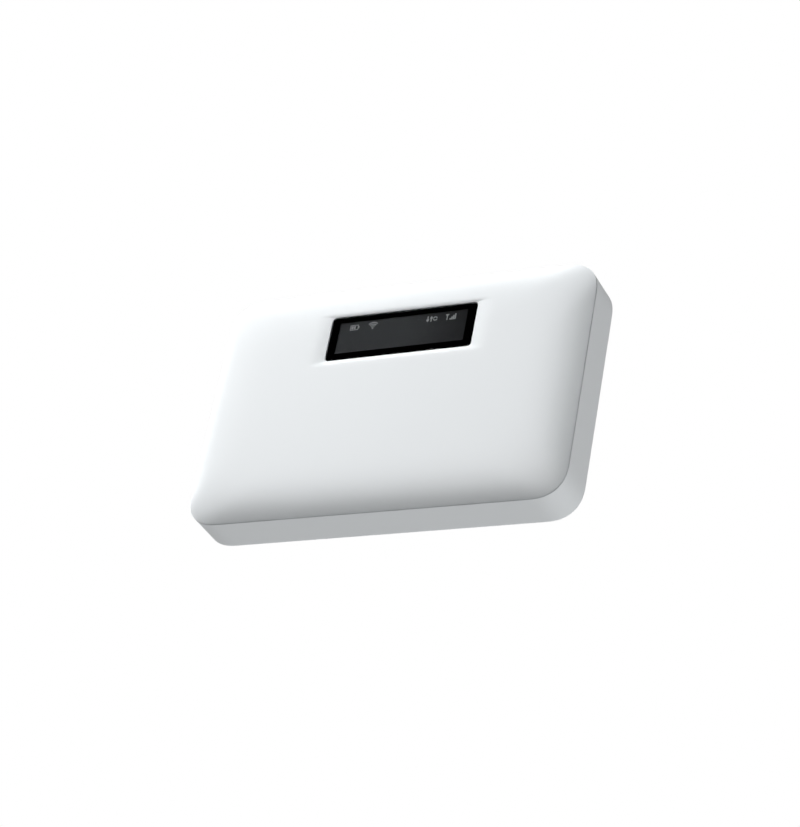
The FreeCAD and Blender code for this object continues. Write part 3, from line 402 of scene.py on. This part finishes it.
def surface(
    name, colour, roughness, metallic=0.0, variation=0.02, patch=25.0, grain=0.35, bump=0.04, stretch=EVEN
):
    """A moulded, rolled or printed surface. Its colour varies in soft patches, over a fine relief.

    patch and grain are the sizes of the two. stretch draws the grain out, as brushing does.
    """
    material = bpy.data.materials.new(name)
    material.use_nodes = True
    tree = material.node_tree
    shader = tree.nodes["Principled BSDF"]
    shader.inputs["Metallic"].default_value = metallic
    place = add_node(tree, "ShaderNodeTexCoord")
    cloud = add_node(tree, "ShaderNodeTexNoise", Scale=1 / (patch * MM), Detail=3.0)
    tree.links.new(place.outputs["Object"], cloud.inputs["Vector"])
    tint = add_node(tree, "ShaderNodeVectorMath", operation="SCALE")
    tint.inputs[0].default_value = colour
    tree.links.new(spread(tree, cloud.outputs["Fac"], 1 - variation, 1 + variation), tint.inputs["Scale"])
    tree.links.new(tint.outputs["Vector"], shader.inputs["Base Color"])
    rough = spread(tree, cloud.outputs["Fac"], roughness * 0.94, roughness * 1.06)
    tree.links.new(rough, shader.inputs["Roughness"])
    drawn = add_node(tree, "ShaderNodeMapping")
    drawn.inputs["Scale"].default_value = stretch
    speck = add_node(tree, "ShaderNodeTexNoise", Scale=1 / (grain * MM), Detail=2.0)
    relief = add_node(tree, "ShaderNodeBump", Strength=bump, Distance=0.02 * MM)
    tree.links.new(place.outputs["Object"], drawn.inputs["Vector"])
    tree.links.new(drawn.outputs["Vector"], speck.inputs["Vector"])
    tree.links.new(speck.outputs["Fac"], relief.inputs["Height"])
    tree.links.new(relief.outputs["Normal"], shader.inputs["Normal"])
    return material


def parts_of(material):
    """A surface's tree, its shader and its object coordinates."""
    tree = material.node_tree
    place = next(node for node in tree.nodes if node.type == "TEX_COORD")
    return tree, tree.nodes["Principled BSDF"], place.outputs["Object"]


def recolour(tree, shader, factor, colour):
    """Mixes colour over a surface's base colour where factor is 1."""
    under = shader.inputs["Base Color"].links[0].from_socket
    mix = add_node(tree, "ShaderNodeMix", data_type="RGBA")
    tree.links.new(factor, mix.inputs["Factor"])
    tree.links.new(under, mix.inputs[6])
    mix.inputs[7].default_value = colour
    tree.links.new(mix.outputs[2], shader.inputs["Base Color"])


def above(tree, source, threshold):
    """1 where source is over threshold, with a narrow soft edge."""
    step = add_node(tree, "ShaderNodeMapRange")
    step.inputs["From Min"].default_value = threshold - 0.02
    step.inputs["From Max"].default_value = threshold + 0.02
    tree.links.new(source, step.inputs["Value"])
    return step.outputs["Result"]


def without_gloss(material):
    """A print on the back of the lens, or a panel bonded to it, has no shine of its own."""
    material.node_tree.nodes["Principled BSDF"].inputs["Specular IOR Level"].default_value = 0
    return material


def clear_lens():
    """Hard-coated clear plastic with a trace of handling on it."""
    material = surface("lens_clear", (1.0, 1.0, 1.0), 0.02, variation=0.0, patch=8, bump=0.0)
    shader = material.node_tree.nodes["Principled BSDF"]
    shader.inputs["IOR"].default_value = 1.49
    shader.inputs["Transmission Weight"].default_value = 1.0
    return material


def display_glass():
    """Unlit liquid-crystal panel: dark, with the faint grid of its cells, and lighter to the left as a painted
    soft reflection.
    """
    material = surface("lcd_glass", (0.070, 0.074, 0.078), 0.5, variation=0.01)
    tree, shader, place = parts_of(material)
    across = add_node(tree, "ShaderNodeSeparateXYZ")
    tree.links.new(place, across.inputs["Vector"])
    # painted reflection: the colour runs from lighter at the left to darker towards +X, standing in for a soft
    # reflection on the panel
    painted_reflection_fade = add_node(tree, "ShaderNodeMapRange", interpolation_type="SMOOTHSTEP")
    painted_reflection_fade.inputs["From Min"].default_value = -2 * MM
    painted_reflection_fade.inputs["From Max"].default_value = 21 * MM
    tree.links.new(across.outputs["X"], painted_reflection_fade.inputs["Value"])
    recolour(tree, shader, painted_reflection_fade.outputs["Result"], (0.034, 0.0355, 0.0375, 1))
    cells = add_node(tree, "ShaderNodeTexChecker", Scale=1 / (0.12 * MM))
    tree.links.new(place, cells.inputs["Vector"])
    faint = add_node(tree, "ShaderNodeMath", operation="MULTIPLY")
    faint.inputs[1].default_value = 0.06
    tree.links.new(cells.outputs["Fac"], faint.inputs[0])
    recolour(tree, shader, faint.outputs[0], (0.038, 0.040, 0.042, 1))
    return without_gloss(material)


def solder_mask():
    """Green circuit board: bundles of tracks under the mask, running two ways, and bright through-holes."""
    material = surface("board_green", (0.012, 0.13, 0.06), 0.35, variation=0.08, bump=0.02)
    tree, shader, place = parts_of(material)
    blocks = add_node(tree, "ShaderNodeTexVoronoi", Scale=1 / (9 * MM), distance="CHEBYCHEV")
    tree.links.new(place, blocks.inputs["Vector"])
    which = add_node(tree, "ShaderNodeSeparateColor")
    tree.links.new(blocks.outputs["Color"], which.inputs["Color"])
    lines = []
    for direction in ("X", "Y"):
        bands = add_node(tree, "ShaderNodeTexWave", Scale=1 / (3.2 * MM), bands_direction=direction)
        tree.links.new(place, bands.inputs["Vector"])
        lines.append(bands.outputs["Fac"])
    choose = add_node(tree, "ShaderNodeMix", data_type="FLOAT")
    tree.links.new(above(tree, which.outputs["Red"], 0.5), choose.inputs["Factor"])
    tree.links.new(lines[0], choose.inputs["A"])
    tree.links.new(lines[1], choose.inputs["B"])
    used = add_node(tree, "ShaderNodeMath", operation="MULTIPLY")
    tree.links.new(above(tree, choose.outputs["Result"], 0.72), used.inputs[0])
    tree.links.new(above(tree, which.outputs["Green"], 0.35), used.inputs[1])
    recolour(tree, shader, used.outputs[0], (0.03, 0.23, 0.10, 1))
    vias = add_node(tree, "ShaderNodeTexVoronoi", Scale=1 / (1.7 * MM))
    tree.links.new(place, vias.inputs["Vector"])
    around = add_node(tree, "ShaderNodeMath", operation="SUBTRACT")
    around.inputs[0].default_value = 1.0
    tree.links.new(vias.outputs["Distance"], around.inputs[1])
    recolour(tree, shader, above(tree, around.outputs[0], 0.87), (0.55, 0.50, 0.30, 1))
    return material


def make_materials():
    """One material for each slot of the record, and one for printed symbols."""
    materials = {
        name: surface(name, colour, roughness, metallic, **details)
        for name, (colour, roughness, metallic, details) in FINISHES.items()
    }
    without_gloss(materials["mask_black"])
    without_gloss(materials["symbol_grey"])
    special = {"lens_clear": clear_lens(), "lcd_glass": display_glass(), "board_green": solder_mask()}
    return materials | special


# ---------------------------------------------------------------- case


def crown_inset(x, y):
    """How far each point lies in from the rim, measured by the crown's own outlines."""
    low, high = np.zeros_like(x), np.full_like(x, CROWN_ROLL + WALL)
    for _ in range(40):
        inset = (low + high) / 2
        radius = CORNER_REACH + CROWN_CORNER_GROWTH * inset
        power = CORNER_POWER + (2 - CORNER_POWER) * inset / (CROWN_ROLL + WALL)
        from_x = np.abs(x) - (HALF_LENGTH - inset - radius)
        from_y = np.abs(y) - (HALF_WIDTH - inset - radius)
        outside = (np.maximum(from_x, 0) ** power + np.maximum(from_y, 0) ** power) ** (1 / power) - radius
        outside += np.minimum(np.maximum(from_x, from_y), 0)
        low = np.where(outside <= 0, inset, low)
        high = np.where(outside <= 0, high, inset)
    return (low + high) / 2


def crown_height(points, base=CROWN_BASE, top=CROWN_TOP, rim_inset=0):
    """Height of the crowned face, before the dish is sunk into it, or of a like crown inside it."""
    share = 1 - (crown_inset(points[:, 0], points[:, 1]) - rim_inset) / CROWN_ROLL
    return base + (top - base) * (1 - np.clip(share, 0, 1) ** CROWN_EXPONENT)


def dished_height(points):
    """Height of the face with the dish round the window: steepest at the window, flat at its outer end."""
    beyond = np.abs(points - WINDOW_MIDDLE) - WINDOW_HALF.xy - (WINDOW_GAP + SOFT_EDGE)
    away = np.clip(np.hypot(*(np.maximum(beyond, 0) / (DISH_SIDE, DISH_END)).T), 0, 1)
    return WINDOW_TOP + (crown_height(points) - WINDOW_TOP) * (1 - (1 - away) ** 2)


def case_outline(inset):
    return outline(HALF_LENGTH - inset, HALF_WIDTH - inset, CORNER_REACH - inset, power=CORNER_POWER)


def window_outline(extra):
    half_x, half_y, _ = WINDOW_HALF
    return outline(half_x + extra, half_y + extra, WINDOW_RADIUS + extra, WINDOW_MIDDLE)


def boss_places():
    return [(side_x * BOSS_X, side_y * BOSS_Y) for side_x, side_y in CORNERS]


def make_front_cover(material):
    """Crowned lid as one closed shell: face, window opening, seat frame, inside and locating lip."""
    edge = window_outline(WINDOW_GAP + SOFT_EDGE)
    rim_slope = math.atan(CROWN_EXPONENT * (CROWN_TOP - CROWN_BASE) / CROWN_ROLL)
    rings = []
    for angle in np.linspace(-math.pi / 2, math.pi / 2 - rim_slope, 8):
        rim = case_outline(SEAM_EDGE * (1 - math.cos(angle)))
        rings.append(level(rim, RIM + SEAM_EDGE * (1 + math.sin(angle))))
    face_steps = 110
    for share in np.arange(1, face_steps + 1) / face_steps:
        # Rings crowd towards the rim and the window, where the face bends most.
        blend = 0.55 * share**2.6 + 0.45 * (1 - (1 - share) ** 1.6) * share
        points = rim + (edge - rim) * blend
        rings.append(level(points, dished_height(points)))
    for across, along in quarter(4)[1:]:
        extra = WINDOW_GAP + SOFT_EDGE * (1 - along)
        rings.append(level(window_outline(extra), WINDOW_TOP - SOFT_EDGE * across))
    hole = outline(PANEL_HALF.x + PANEL_GAP, PANEL_HALF.y + PANEL_GAP, PANEL_HOLE_RADIUS, PANEL_MIDDLE)
    seat = window_outline(WINDOW_FRAME)
    rings += [level(window_outline(WINDOW_GAP), WINDOW_LEDGE), level(hole, WINDOW_LEDGE)]
    rings += [level(hole, SEAT_BASE), level(seat, SEAT_BASE)]
    inner_rim = case_outline(WALL)
    inner_steps = 24
    for share in np.arange(inner_steps + 1) / inner_steps:
        points = seat + (inner_rim - seat) * share
        rings.append(level(points, crown_height(points, RIM, CROWN_TOP - SKIN, WALL)))
    lip = case_outline(LIP_INSET)
    rings += [level(inner_rim, LIP_BASE), level(lip, LIP_BASE), level(lip, RIM)]
    cover = loft("front_cover_shell", rings, closed=True)
    board = BOARD_HIGH.z
    inside_skin = CROWN_TOP - SKIN + FUSE_DEPTH
    bosses = [prism(circle(COVER_BOSS_RADIUS, place), board, inside_skin) for place in boss_places()]
    combine(cover, "UNION", bosses)
    pilots = [
        prism(circle(PILOT_RADIUS, place), board - OVERRUN, board + PILOT_DEPTH) for place in boss_places()
    ]
    combine(cover, "DIFFERENCE", pilots)
    return keep_piece(smooth(cover), "case", "case_white", material, "front_cover")


def tab_places():
    """(place, half size in X, half size in Y) of the door's tabs: two on each long edge, one at each end."""
    edge_x = DOOR_HIGH.x + DOOR_GAP - TAB_INSET
    edge_y = DOOR_HIGH.y + DOOR_GAP - TAB_INSET
    long, short = TAB_LENGTH / 2, TAB_THICKNESS / 2
    on_long_edges = [((side_x * TAB_SPREAD, side_y * edge_y), long, short) for side_x, side_y in CORNERS]
    return on_long_edges + [((side * edge_x, 0), short, long) for side in (-1, 1)]


def housing_rings():
    """Outlines of the tub: down its outside, round the base, up into the bay, and back up inside."""
    rings = [
        level(case_outline(SEAM_EDGE * (1 - along)), HOUSING_TOP - SEAM_EDGE * across)
        for across, along in quarter(4)
    ]
    for height in np.linspace(HOUSING_TOP - SEAM_EDGE, BASE_RADIUS, 7)[1:-1]:
        rings.append(level(case_outline(0), height))
    for across, along in quarter(10):
        rings.append(level(case_outline(BASE_RADIUS * across), BASE_RADIUS * (1 - along)))
    recess = DOOR_HIGH.x + DOOR_GAP, DOOR_HIGH.y + DOOR_GAP
    for across, along in quarter(4):
        extra = SOFT_EDGE * (1 - along)
        points = outline(recess[0] + extra, recess[1] + extra, DOOR_RADIUS + DOOR_GAP + extra)
        rings.append(level(points, SOFT_EDGE * across))
    rings.append(level(outline(*recess, DOOR_RADIUS + DOOR_GAP), RECESS_FLOOR))
    card_window = outline(*CARD_WINDOW_HALF, CARD_WINDOW_RADIUS, (0, CARD_WINDOW_Y))
    bay = outline(*BAY_HALF, BAY_RADIUS)
    rings += [level(bay, RECESS_FLOOR), level(bay, BAY_TOP), level(card_window, BAY_TOP)]
    bay_outside = outline(BAY_HALF[0] + BAY_WALL, BAY_HALF[1] + BAY_WALL, BAY_OUTER_RADIUS)
    roof = BAY_TOP + BAY_ROOF
    rings += [level(card_window, roof), level(bay_outside, roof), level(bay_outside, CAVITY_FLOOR)]
    rings += [level(case_outline(WALL), CAVITY_FLOOR), level(case_outline(WALL), LIP_BASE)]
    rings += [level(case_outline(REBATE_WIDTH), LIP_BASE), level(case_outline(REBATE_WIDTH), HOUSING_TOP)]
    return rings


def side_holes():
    """Tools for the charging socket, the pinhole, the power button and the battery's contacts."""
    socket = middle("usb_shell")
    socket_half = (SOCKET_HIGH - SOCKET_LOW) / 2
    pinhole = middle("reset_switch_plunger")
    cell = middle("battery_cell")
    through = WALL + OVERRUN / 2

    def socket_section(extra):
        gap = SOCKET_HOLE_GAP + extra
        return pill(socket_half.y + gap, socket_half.z + gap, (socket.y, socket.z))

    def button_section(extra):
        gap = BUTTON_GAP + extra
        return pill(BUTTON_HALF[0] + gap, BUTTON_HALF[1] + gap, (BUTTON_MIDDLE.x, BUTTON_MIDDLE.z))

    def pinhole_section(extra):
        return circle(PINHOLE_RADIUS + extra, (pinhole.y, pinhole.z))

    def contact_section(extra):
        half_y, half_z = CONTACT_WINDOW_HALF
        return outline(half_y + extra, half_z + extra, CONTACT_WINDOW_RADIUS, (0, cell.z), SMALL)

    bay_end = HALF_LENGTH + BAY_HALF[0]
    return [
        hole_tool(on_left, socket_section, 0, through, flare=0.3),
        hole_tool(on_left, pinhole_section, 0, through, flare=0.15),
        hole_tool(on_back, button_section, 0, through, flare=0.2),
        hole_tool(on_left, contact_section, bay_end + OVERRUN / 2, bay_end + BAY_WALL + OVERRUN / 2),
    ]


def make_rear_housing(material):
    """Deep tub as one closed shell, with its screw bosses and every hole that the case has."""
    housing = loft("rear_housing_shell", housing_rings(), closed=True)
    base = CAVITY_FLOOR - FUSE_DEPTH
    bosses = [prism(circle(HOUSING_BOSS_RADIUS, place), base, BOARD_LOW.z) for place in boss_places()]
    combine(housing, "UNION", bosses)
    head_top = SCREWS_LOW.z + SCREW_HEAD_HEIGHT
    tools = side_holes()
    for place in boss_places():

        def counterbore(extra, place=place):
            return circle(COUNTERBORE_RADIUS + extra, place)

        tools.append(prism(circle(SCREW_HOLE_RADIUS, place), -OVERRUN, BOARD_LOW.z + OVERRUN))
        tools.append(hole_tool(level, counterbore, RECESS_FLOOR, head_top, flare=0.15))
    for place, half_x, half_y in tab_places():
        slot = outline(half_x + TAB_GAP, half_y + TAB_GAP, TAB_SLOT_RADIUS, place, SMALL)
        tools.append(prism(slot, OVERRUN / 2, CAVITY_FLOOR + OVERRUN))
    combine(housing, "DIFFERENCE", tools)
    keep_piece(smooth(housing), "case", "case_white", material, "rear_housing")


def make_battery_door(material):
    """Flush panel with soft edges, locating tabs and a fingernail notch."""

    def panel(inset):
        return outline(DOOR_HIGH.x - inset, DOOR_HIGH.y - inset, DOOR_RADIUS - inset)

    soft = DOOR_SOFT_EDGE
    rings = [level(panel(soft * (1 - along)), soft * across) for across, along in quarter(5)]
    for across, along in quarter(3):
        rings.append(level(panel(SOFT_EDGE * across), DOOR_THICKNESS - SOFT_EDGE * (1 - along)))
    door = loft("battery_door_panel", rings)
    tabs = []
    for place, half_x, half_y in tab_places():
        foot = outline(half_x, half_y, TAB_RADIUS, place, SMALL)
        tip = outline(half_x - TAB_TAPER, half_y - TAB_TAPER, TAB_RADIUS, place, SMALL)
        base, shoulder = DOOR_THICKNESS - FUSE_DEPTH, DOOR_HIGH.z - TAB_RADIUS
        tabs.append(loft("tab", [level(foot, base), level(foot, shoulder), level(tip, DOOR_HIGH.z)]))
    combine(door, "UNION", tabs)

    def notch(extra):
        return pill(NOTCH_DEPTH + extra, NOTCH_LENGTH / 2 + extra, (DOOR_LOW.x, NOTCH_Y), (16, 1))

    combine(door, "DIFFERENCE", [hole_tool(level, notch, 0, DOOR_THICKNESS + OVERRUN, flare=0.35)])
    keep_piece(smooth(door), "battery_door", "case_white", material, "battery_door")


def make_power_button(material, symbol_material):
    """Key cap with a crowned face, its retaining flange, and a generic power symbol on the face."""
    place = BUTTON_MIDDLE.x, BUTTON_MIDDLE.z
    half_x, half_z = BUTTON_HALF
    proud = BUTTON_FACE - HALF_WIDTH
    face_drop = 0.02  # leaves room for the printed symbol
    edge_radius = 0.3
    crown_drop = 0.05
    ridge = 0.05  # half width of the flat along the crown
    insets = edge_radius + (half_z - edge_radius - ridge) * np.linspace(1, 0, 6)
    rings = []
    for inset in insets:
        fall = crown_drop * (1 - (inset - edge_radius) / (half_z - edge_radius)) ** 2
        rings.append(on_back(pill(half_x - inset, half_z - inset, place), face_drop + fall - proud))
    for across, along in quarter(5)[1:]:
        inset = edge_radius * (1 - along)
        depth = face_drop + crown_drop + edge_radius * across - proud
        rings.append(on_back(pill(half_x - inset, half_z - inset, place), depth))
    flange_front, flange_back = BUTTON_FLANGE_LEVELS
    margin = BUTTON_FLANGE_MARGIN
    flange = outline(half_x + margin, half_z + margin, margin, place, SMALL)
    rings += [on_back(pill(half_x, half_z, place), flange_front), on_back(flange, flange_front)]
    rings.append(on_back(flange, flange_back))
    cap = loft("power_button_cap", rings)
    keep_piece(smooth(cap), "power_button", "case_white", material, "power_button")
    stroke = 0.16
    marks = sector(0.62, stroke, 125, 415), rectangle(-stroke / 2, 0.1, stroke / 2, 0.82)
    ink = 0.04
    strokes = [
        loft("stroke", [on_back(points + place, -proud), on_back(points + place, ink - proud)])
        for points in marks
    ]
    keep_piece(joined("power_symbol", strokes), "power_button", "case_white", symbol_material)


# ---------------------------------------------------------------- display


def sector(radius, stroke, first, last, steps=20):
    """Outline of a curved stroke, from angle first to angle last in degrees."""
    angles = np.radians(np.linspace(first, last, steps + 1))
    around = np.column_stack((np.cos(angles), np.sin(angles)))
    return np.concatenate((around * (radius + stroke / 2), around[::-1] * (radius - stroke / 2)))


def rectangle(left, bottom, right, top):
    return np.array([(left, bottom), (right, bottom), (right, top), (left, top)])


def battery_symbol():
    """Cell outline, its end nub and two charge bars."""
    case = [
        rectangle(-1.35, -0.8, 1.1, -0.6),
        rectangle(-1.35, 0.6, 1.1, 0.8),
        rectangle(-1.35, -0.6, -1.15, 0.6),
        rectangle(0.9, -0.6, 1.1, 0.6),
    ]
    nub = rectangle(1.1, -0.35, 1.35, 0.35)
    return [*case, nub, rectangle(-1.0, -0.45, -0.4, 0.45), rectangle(-0.25, -0.45, 0.25, 0.45)]


def wireless_symbol():
    """Dot with three arcs fanned out above it."""
    arcs = [sector(radius, 0.26, 45, 135) + (0, -0.85) for radius in (0.75, 1.3, 1.85)]
    return [circle(0.24, (0, -0.8), 16), *arcs]


def arrow(x, way):
    """Straight arrow that points up or down."""
    shaft = [(-0.14, -0.9), (0.14, -0.9), (0.14, 0.1)]
    head = [(0.5, 0.1), (0, 0.95), (-0.5, 0.1), (-0.14, 0.1)]
    return np.array(shaft + head) * (1, way) + (x, 0)


def traffic_symbol():
    """Down and up arrows beside a broken ring."""
    halves = [sector(0.52, 0.24, first, first + 155) + (1.0, 0) for first in (12, 192)]
    return [arrow(-1.15, -1), arrow(-0.15, 1), *halves]


def signal_symbol():
    """Aerial with four rising bars."""
    aerial = np.array([(-1.6, 0.9), (-0.5, 0.9), (-0.92, 0.3), (-0.92, -0.9), (-1.18, -0.9), (-1.18, 0.3)])
    bars = (-0.3, -0.4), (0.17, 0.0), (0.64, 0.45), (1.11, 0.9)
    return [aerial, *(rectangle(left, -0.9, left + 0.36, top) for left, top in bars)]


def make_display(materials):
    """Lens, and the printed marks in the top row of the panel behind it."""
    edge_radius, bevel = 0.2, 0.05
    low = WINDOW_LOW.z
    rings = [level(window_outline(-bevel), low), level(window_outline(0), low + bevel)]
    for across, along in quarter(5):
        rings.append(level(window_outline(-edge_radius * across), WINDOW_TOP - edge_radius * (1 - along)))
    lens = loft("display_lens", rings)
    keep_piece(smooth(lens, 60), "case", "lens_clear", materials["lens_clear"], "display_window")
    lens.visible_shadow = False  # the panel behind a clear lens is lit as if through air
    row_y = PANEL_HIGH.y - SYMBOL_ROW_DROP
    symbols = {
        -14.5: battery_symbol(),
        -9.1: wireless_symbol(),
        8.1: traffic_symbol(),
        13.6: signal_symbol(),
    }
    ink = 0.03
    marks = [
        prism(points + (x, row_y), PANEL_HIGH.z, PANEL_HIGH.z + ink)
        for x, shapes in symbols.items()
        for points in shapes
    ]
    keep_piece(joined("display_symbols", marks), "case", "lcd_glass", materials["symbol_grey"])
    return lens


# ---------------------------------------------------------------- socket and fasteners


def make_charging_socket(materials):
    """Drawn socket shell with a rolled mouth, and the tongue inside it."""
    centre = middle("usb_shell")
    half = (SOCKET_HIGH - SOCKET_LOW) / 2
    mouth, end = SOCKET_LOW.x + HALF_LENGTH, SOCKET_HIGH.x + HALF_LENGTH

    def shell(inset, depth):
        return on_left(pill(half.y - inset, half.z - inset, (centre.y, centre.z), (12, 1)), depth)

    roll = SOCKET_SKIN / 2
    rings = [shell(SOCKET_SKIN, end - SOCKET_SKIN)]
    rings += [
        shell(roll + roll * math.cos(angle), mouth + roll - roll * math.sin(angle))
        for angle in np.linspace(0, math.pi, 9)
    ]
    rings += [shell(0, end - 0.4), shell(0.12, end - 0.1), shell(0.4, end)]
    socket = loft("usb_socket_shell", rings)
    keep_piece(smooth(socket), "case", "socket_steel", materials["socket_steel"], "usb_shell")
    tongue_low, tongue_high = node_box("usb_tongue")
    tongue_half = (tongue_high - tongue_low) / 2
    tip, root = tongue_low.x + HALF_LENGTH, tongue_high.x + HALF_LENGTH

    def tongue(inset, depth):
        half_y, half_z = tongue_half.y - inset, tongue_half.z - inset
        return on_left(outline(half_y, half_z, 0.6 * (half_z - PILL_SLACK), (0, centre.z), SMALL), depth)

    bevel = 0.15
    blade = loft("usb_tongue_blade", [tongue(bevel, tip), tongue(0, tip + bevel), tongue(0, root)])
    keep_piece(smooth(blade), "case", "switch_black", materials["switch_black"], "usb_tongue")


def thread_ring(z):
    """Circle whose radius follows a helical groove at this height."""
    points = circle(SCREW_RADIUS, count=SCREW_STEPS)
    turns = z / THREAD_PITCH - np.arange(SCREW_STEPS) / SCREW_STEPS
    groove = np.abs(2 * (turns - np.floor(turns)) - 1)
    return level(points * (1 - THREAD_DEPTH * groove / SCREW_RADIUS)[:, None], z)


def make_screws(material):
    """Pan-head screws with a cross recess and a cut thread."""
    low, top = SCREWS_LOW.z, SCREWS_HIGH.z
    head_top = low + SCREW_HEAD_HEIGHT
    crown = 0.35

    def ring(share, z):
        return level(circle(SCREW_HEAD_RADIUS * share, count=SCREW_STEPS), z)

    rings = [ring(share, low + crown * share**3) for share in (0.3, 0.55, 0.75, 0.9, 1)]
    rings += [ring(1, head_top), thread_ring(head_top)]
    rings += [thread_ring(z) for z in np.arange(head_top + 0.06, top - 0.5, THREAD_PITCH / 8)]
    rings.append(level(circle(SCREW_RADIUS * 0.55, count=SCREW_STEPS), top))
    screw = loft("screw", rings)
    arm, width, depth = 0.8, 0.2, 0.5
    cross = [
        prism(outline(half_x, half_y, 0.05, steps=SMALL), low - OVERRUN, low + depth)
        for half_x, half_y in ((arm, width), (width, arm))
    ]
    combine(screw, "DIFFERENCE", cross)
    screws = []
    for x, y in boss_places():
        copy = bpy.data.objects.new("screw_copy", screw.data.copy())
        copy.data.transform(Matrix.Translation(Vector((x, y, 0)) * MM))
        screws.append(copy)
    bpy.data.objects.remove(screw)
    keep_piece(smooth(joined("case_screw_set", screws)), "case", "screw_steel", material, "case_screws")


def dress_cad_nodes(materials):
    """Gives every CAD node that still shows the material of its own slot."""
    slots = {part["node"]: part["material_slot"] for part in frame["record"]["subparts"]}
    for name, node in frame["nodes"].items():
        if not node.hide_render:
            node.data.materials.clear()
            node.data.materials.append(materials[slots[name]])


# ---------------------------------------------------------------- stage


def direction(azimuth, elevation):
    """Towards a camera or light. Azimuth 0 looks along +Y, and 90 is from +X."""
    a, e = math.radians(azimuth), math.radians(elevation)
    return Vector((math.sin(a) * math.cos(e), -math.cos(a) * math.cos(e), math.sin(e)))


def make_camera():
    back = direction(CAMERA_AZIMUTH, CAMERA_ELEVATION)
    level_right = Vector((0, 0, 1)).cross(back).normalized()
    right = Matrix.Rotation(math.radians(CAMERA_ROLL), 3, back) @ level_right
    up = back.cross(right)
    position = back * CAMERA_DISTANCE
    aim = right * CAMERA_AIM_RIGHT + up * CAMERA_AIM_UP
    view_back = (position - aim).normalized()
    view_right = up.cross(view_back).normalized()
    view_up = view_back.cross(view_right)
    data = bpy.data.cameras.new("Camera")
    data.lens = CAMERA_LENS
    data.sensor_width = CAMERA_SENSOR
    data.clip_start = 0.01
    data.clip_end = 20
    camera = bpy.data.objects.new("Camera", data)
    bpy.context.scene.collection.objects.link(camera)
    turned = Matrix((view_right, view_up, view_back)).transposed().to_4x4()
    camera.matrix_world = Matrix.Translation(position * MM) @ turned
    bpy.context.scene.camera = camera


def make_floor():
    """Plain white floor that only the camera sees, and only from above, with no shadow on it.

    The light table stands in for its glow.
    """
    bpy.ops.mesh.primitive_plane_add(size=6, location=(0, 0, -FLOOR_DROP * MM))
    floor = bpy.context.object
    floor.name = "floor"
    material = bpy.data.materials.new("floor_white")
    material.use_nodes = True
    tree = material.node_tree
    tree.nodes.clear()
    white = add_node(tree, "ShaderNodeEmission", Color=grey(1.0), Strength=1.0)
    clear = add_node(tree, "ShaderNodeBsdfTransparent")
    side = add_node(tree, "ShaderNodeNewGeometry")
    mix = add_node(tree, "ShaderNodeMixShader")
    output = add_node(tree, "ShaderNodeOutputMaterial")
    tree.links.new(side.outputs["Backfacing"], mix.inputs["Fac"])
    tree.links.new(white.outputs["Emission"], mix.inputs[1])
    tree.links.new(clear.outputs["BSDF"], mix.inputs[2])
    tree.links.new(mix.outputs["Shader"], output.inputs["Surface"])
    floor.data.materials.append(material)
    for ray in ("diffuse", "glossy", "transmission", "volume_scatter", "shadow"):
        setattr(floor, f"visible_{ray}", False)


def make_light(
    name, azimuth, elevation, radiance, distance=SOFTBOX_DISTANCE, size=SOFTBOX_SIZE, glossy=True
):
    """A square softbox that looks at the origin. One that isn't glossy leaves no reflection of itself."""
    back = direction(azimuth, elevation)
    data = bpy.data.lights.new(name, "AREA")
    data.size = size * MM
    data.energy = math.pi * data.size**2 * radiance
    light = bpy.data.objects.new(name, data)
    bpy.context.scene.collection.objects.link(light)
    light.location = back * distance * MM
    light.rotation_mode = "QUATERNION"
    light.rotation_quaternion = back.to_track_quat("Z", "Y")
    light.visible_camera = False
    light.visible_glossy = glossy
    return light


def aim_at(light, thing, state):
    """Keeps a light on one piece alone (INCLUDE) or off that piece (EXCLUDE), as flags on stands would."""
    flagged = bpy.data.collections.new(f"{light.name} flag")
    flagged.objects.link(thing)
    flagged.collection_objects[0].light_linking.link_state = state
    light.light_linking.receiver_collection = flagged


def make_stage(cover, lens):
    """White floor and sky, softboxes behind and above, low fills all round, and a light table underneath."""
    scene = bpy.context.scene
    scene.view_settings.view_transform = "Standard"
    world = bpy.data.worlds.new("Studio")
    world.use_nodes = True
    world.node_tree.nodes["Background"].inputs["Color"].default_value = grey(1.0)
    world.node_tree.nodes["Background"].inputs["Strength"].default_value = 1.0
    scene.world = world
    for ray in ("diffuse", "glossy", "transmission", "scatter"):
        setattr(world.cycles_visibility, ray, False)
    make_floor()
    # The two rim lights graze the crown from behind and would burn out the sides they face.
    aim_at(make_light("back_fill", 205, 18, 28.6, glossy=False), cover, "INCLUDE")
    aim_at(make_light("left_strip", 240, 10, 4.4), cover, "INCLUDE")
    aim_at(make_light("key", 225, 45, 3.95), lens, "EXCLUDE")
    make_light("overhead", 223, 67, 4.3)
    # The front and back fills would glare on the underside when it is looked at from low down.
    make_light("front_low", 15, -10, 4.85, glossy=False)
    make_light("back_low", 195, -10, 4.85, glossy=False)
    make_light("right_low", 75, -10, 4.4)
    make_light("left_low", 255, -10, 4.4)
    make_light("light_table", 0, -90, 0.56, distance=600.0, size=8000.0)
    make_camera()


# ---------------------------------------------------------------- the whole


def main():
    materials = make_materials()
    white = materials["case_white"]
    cover = make_front_cover(white)
    make_rear_housing(white)
    make_battery_door(white)
    make_power_button(white, materials["symbol_grey"])
    lens = make_display(materials)
    make_charging_socket(materials)
    make_screws(materials["screw_steel"])
    dress_cad_nodes(materials)
    make_stage(cover, lens)


main()
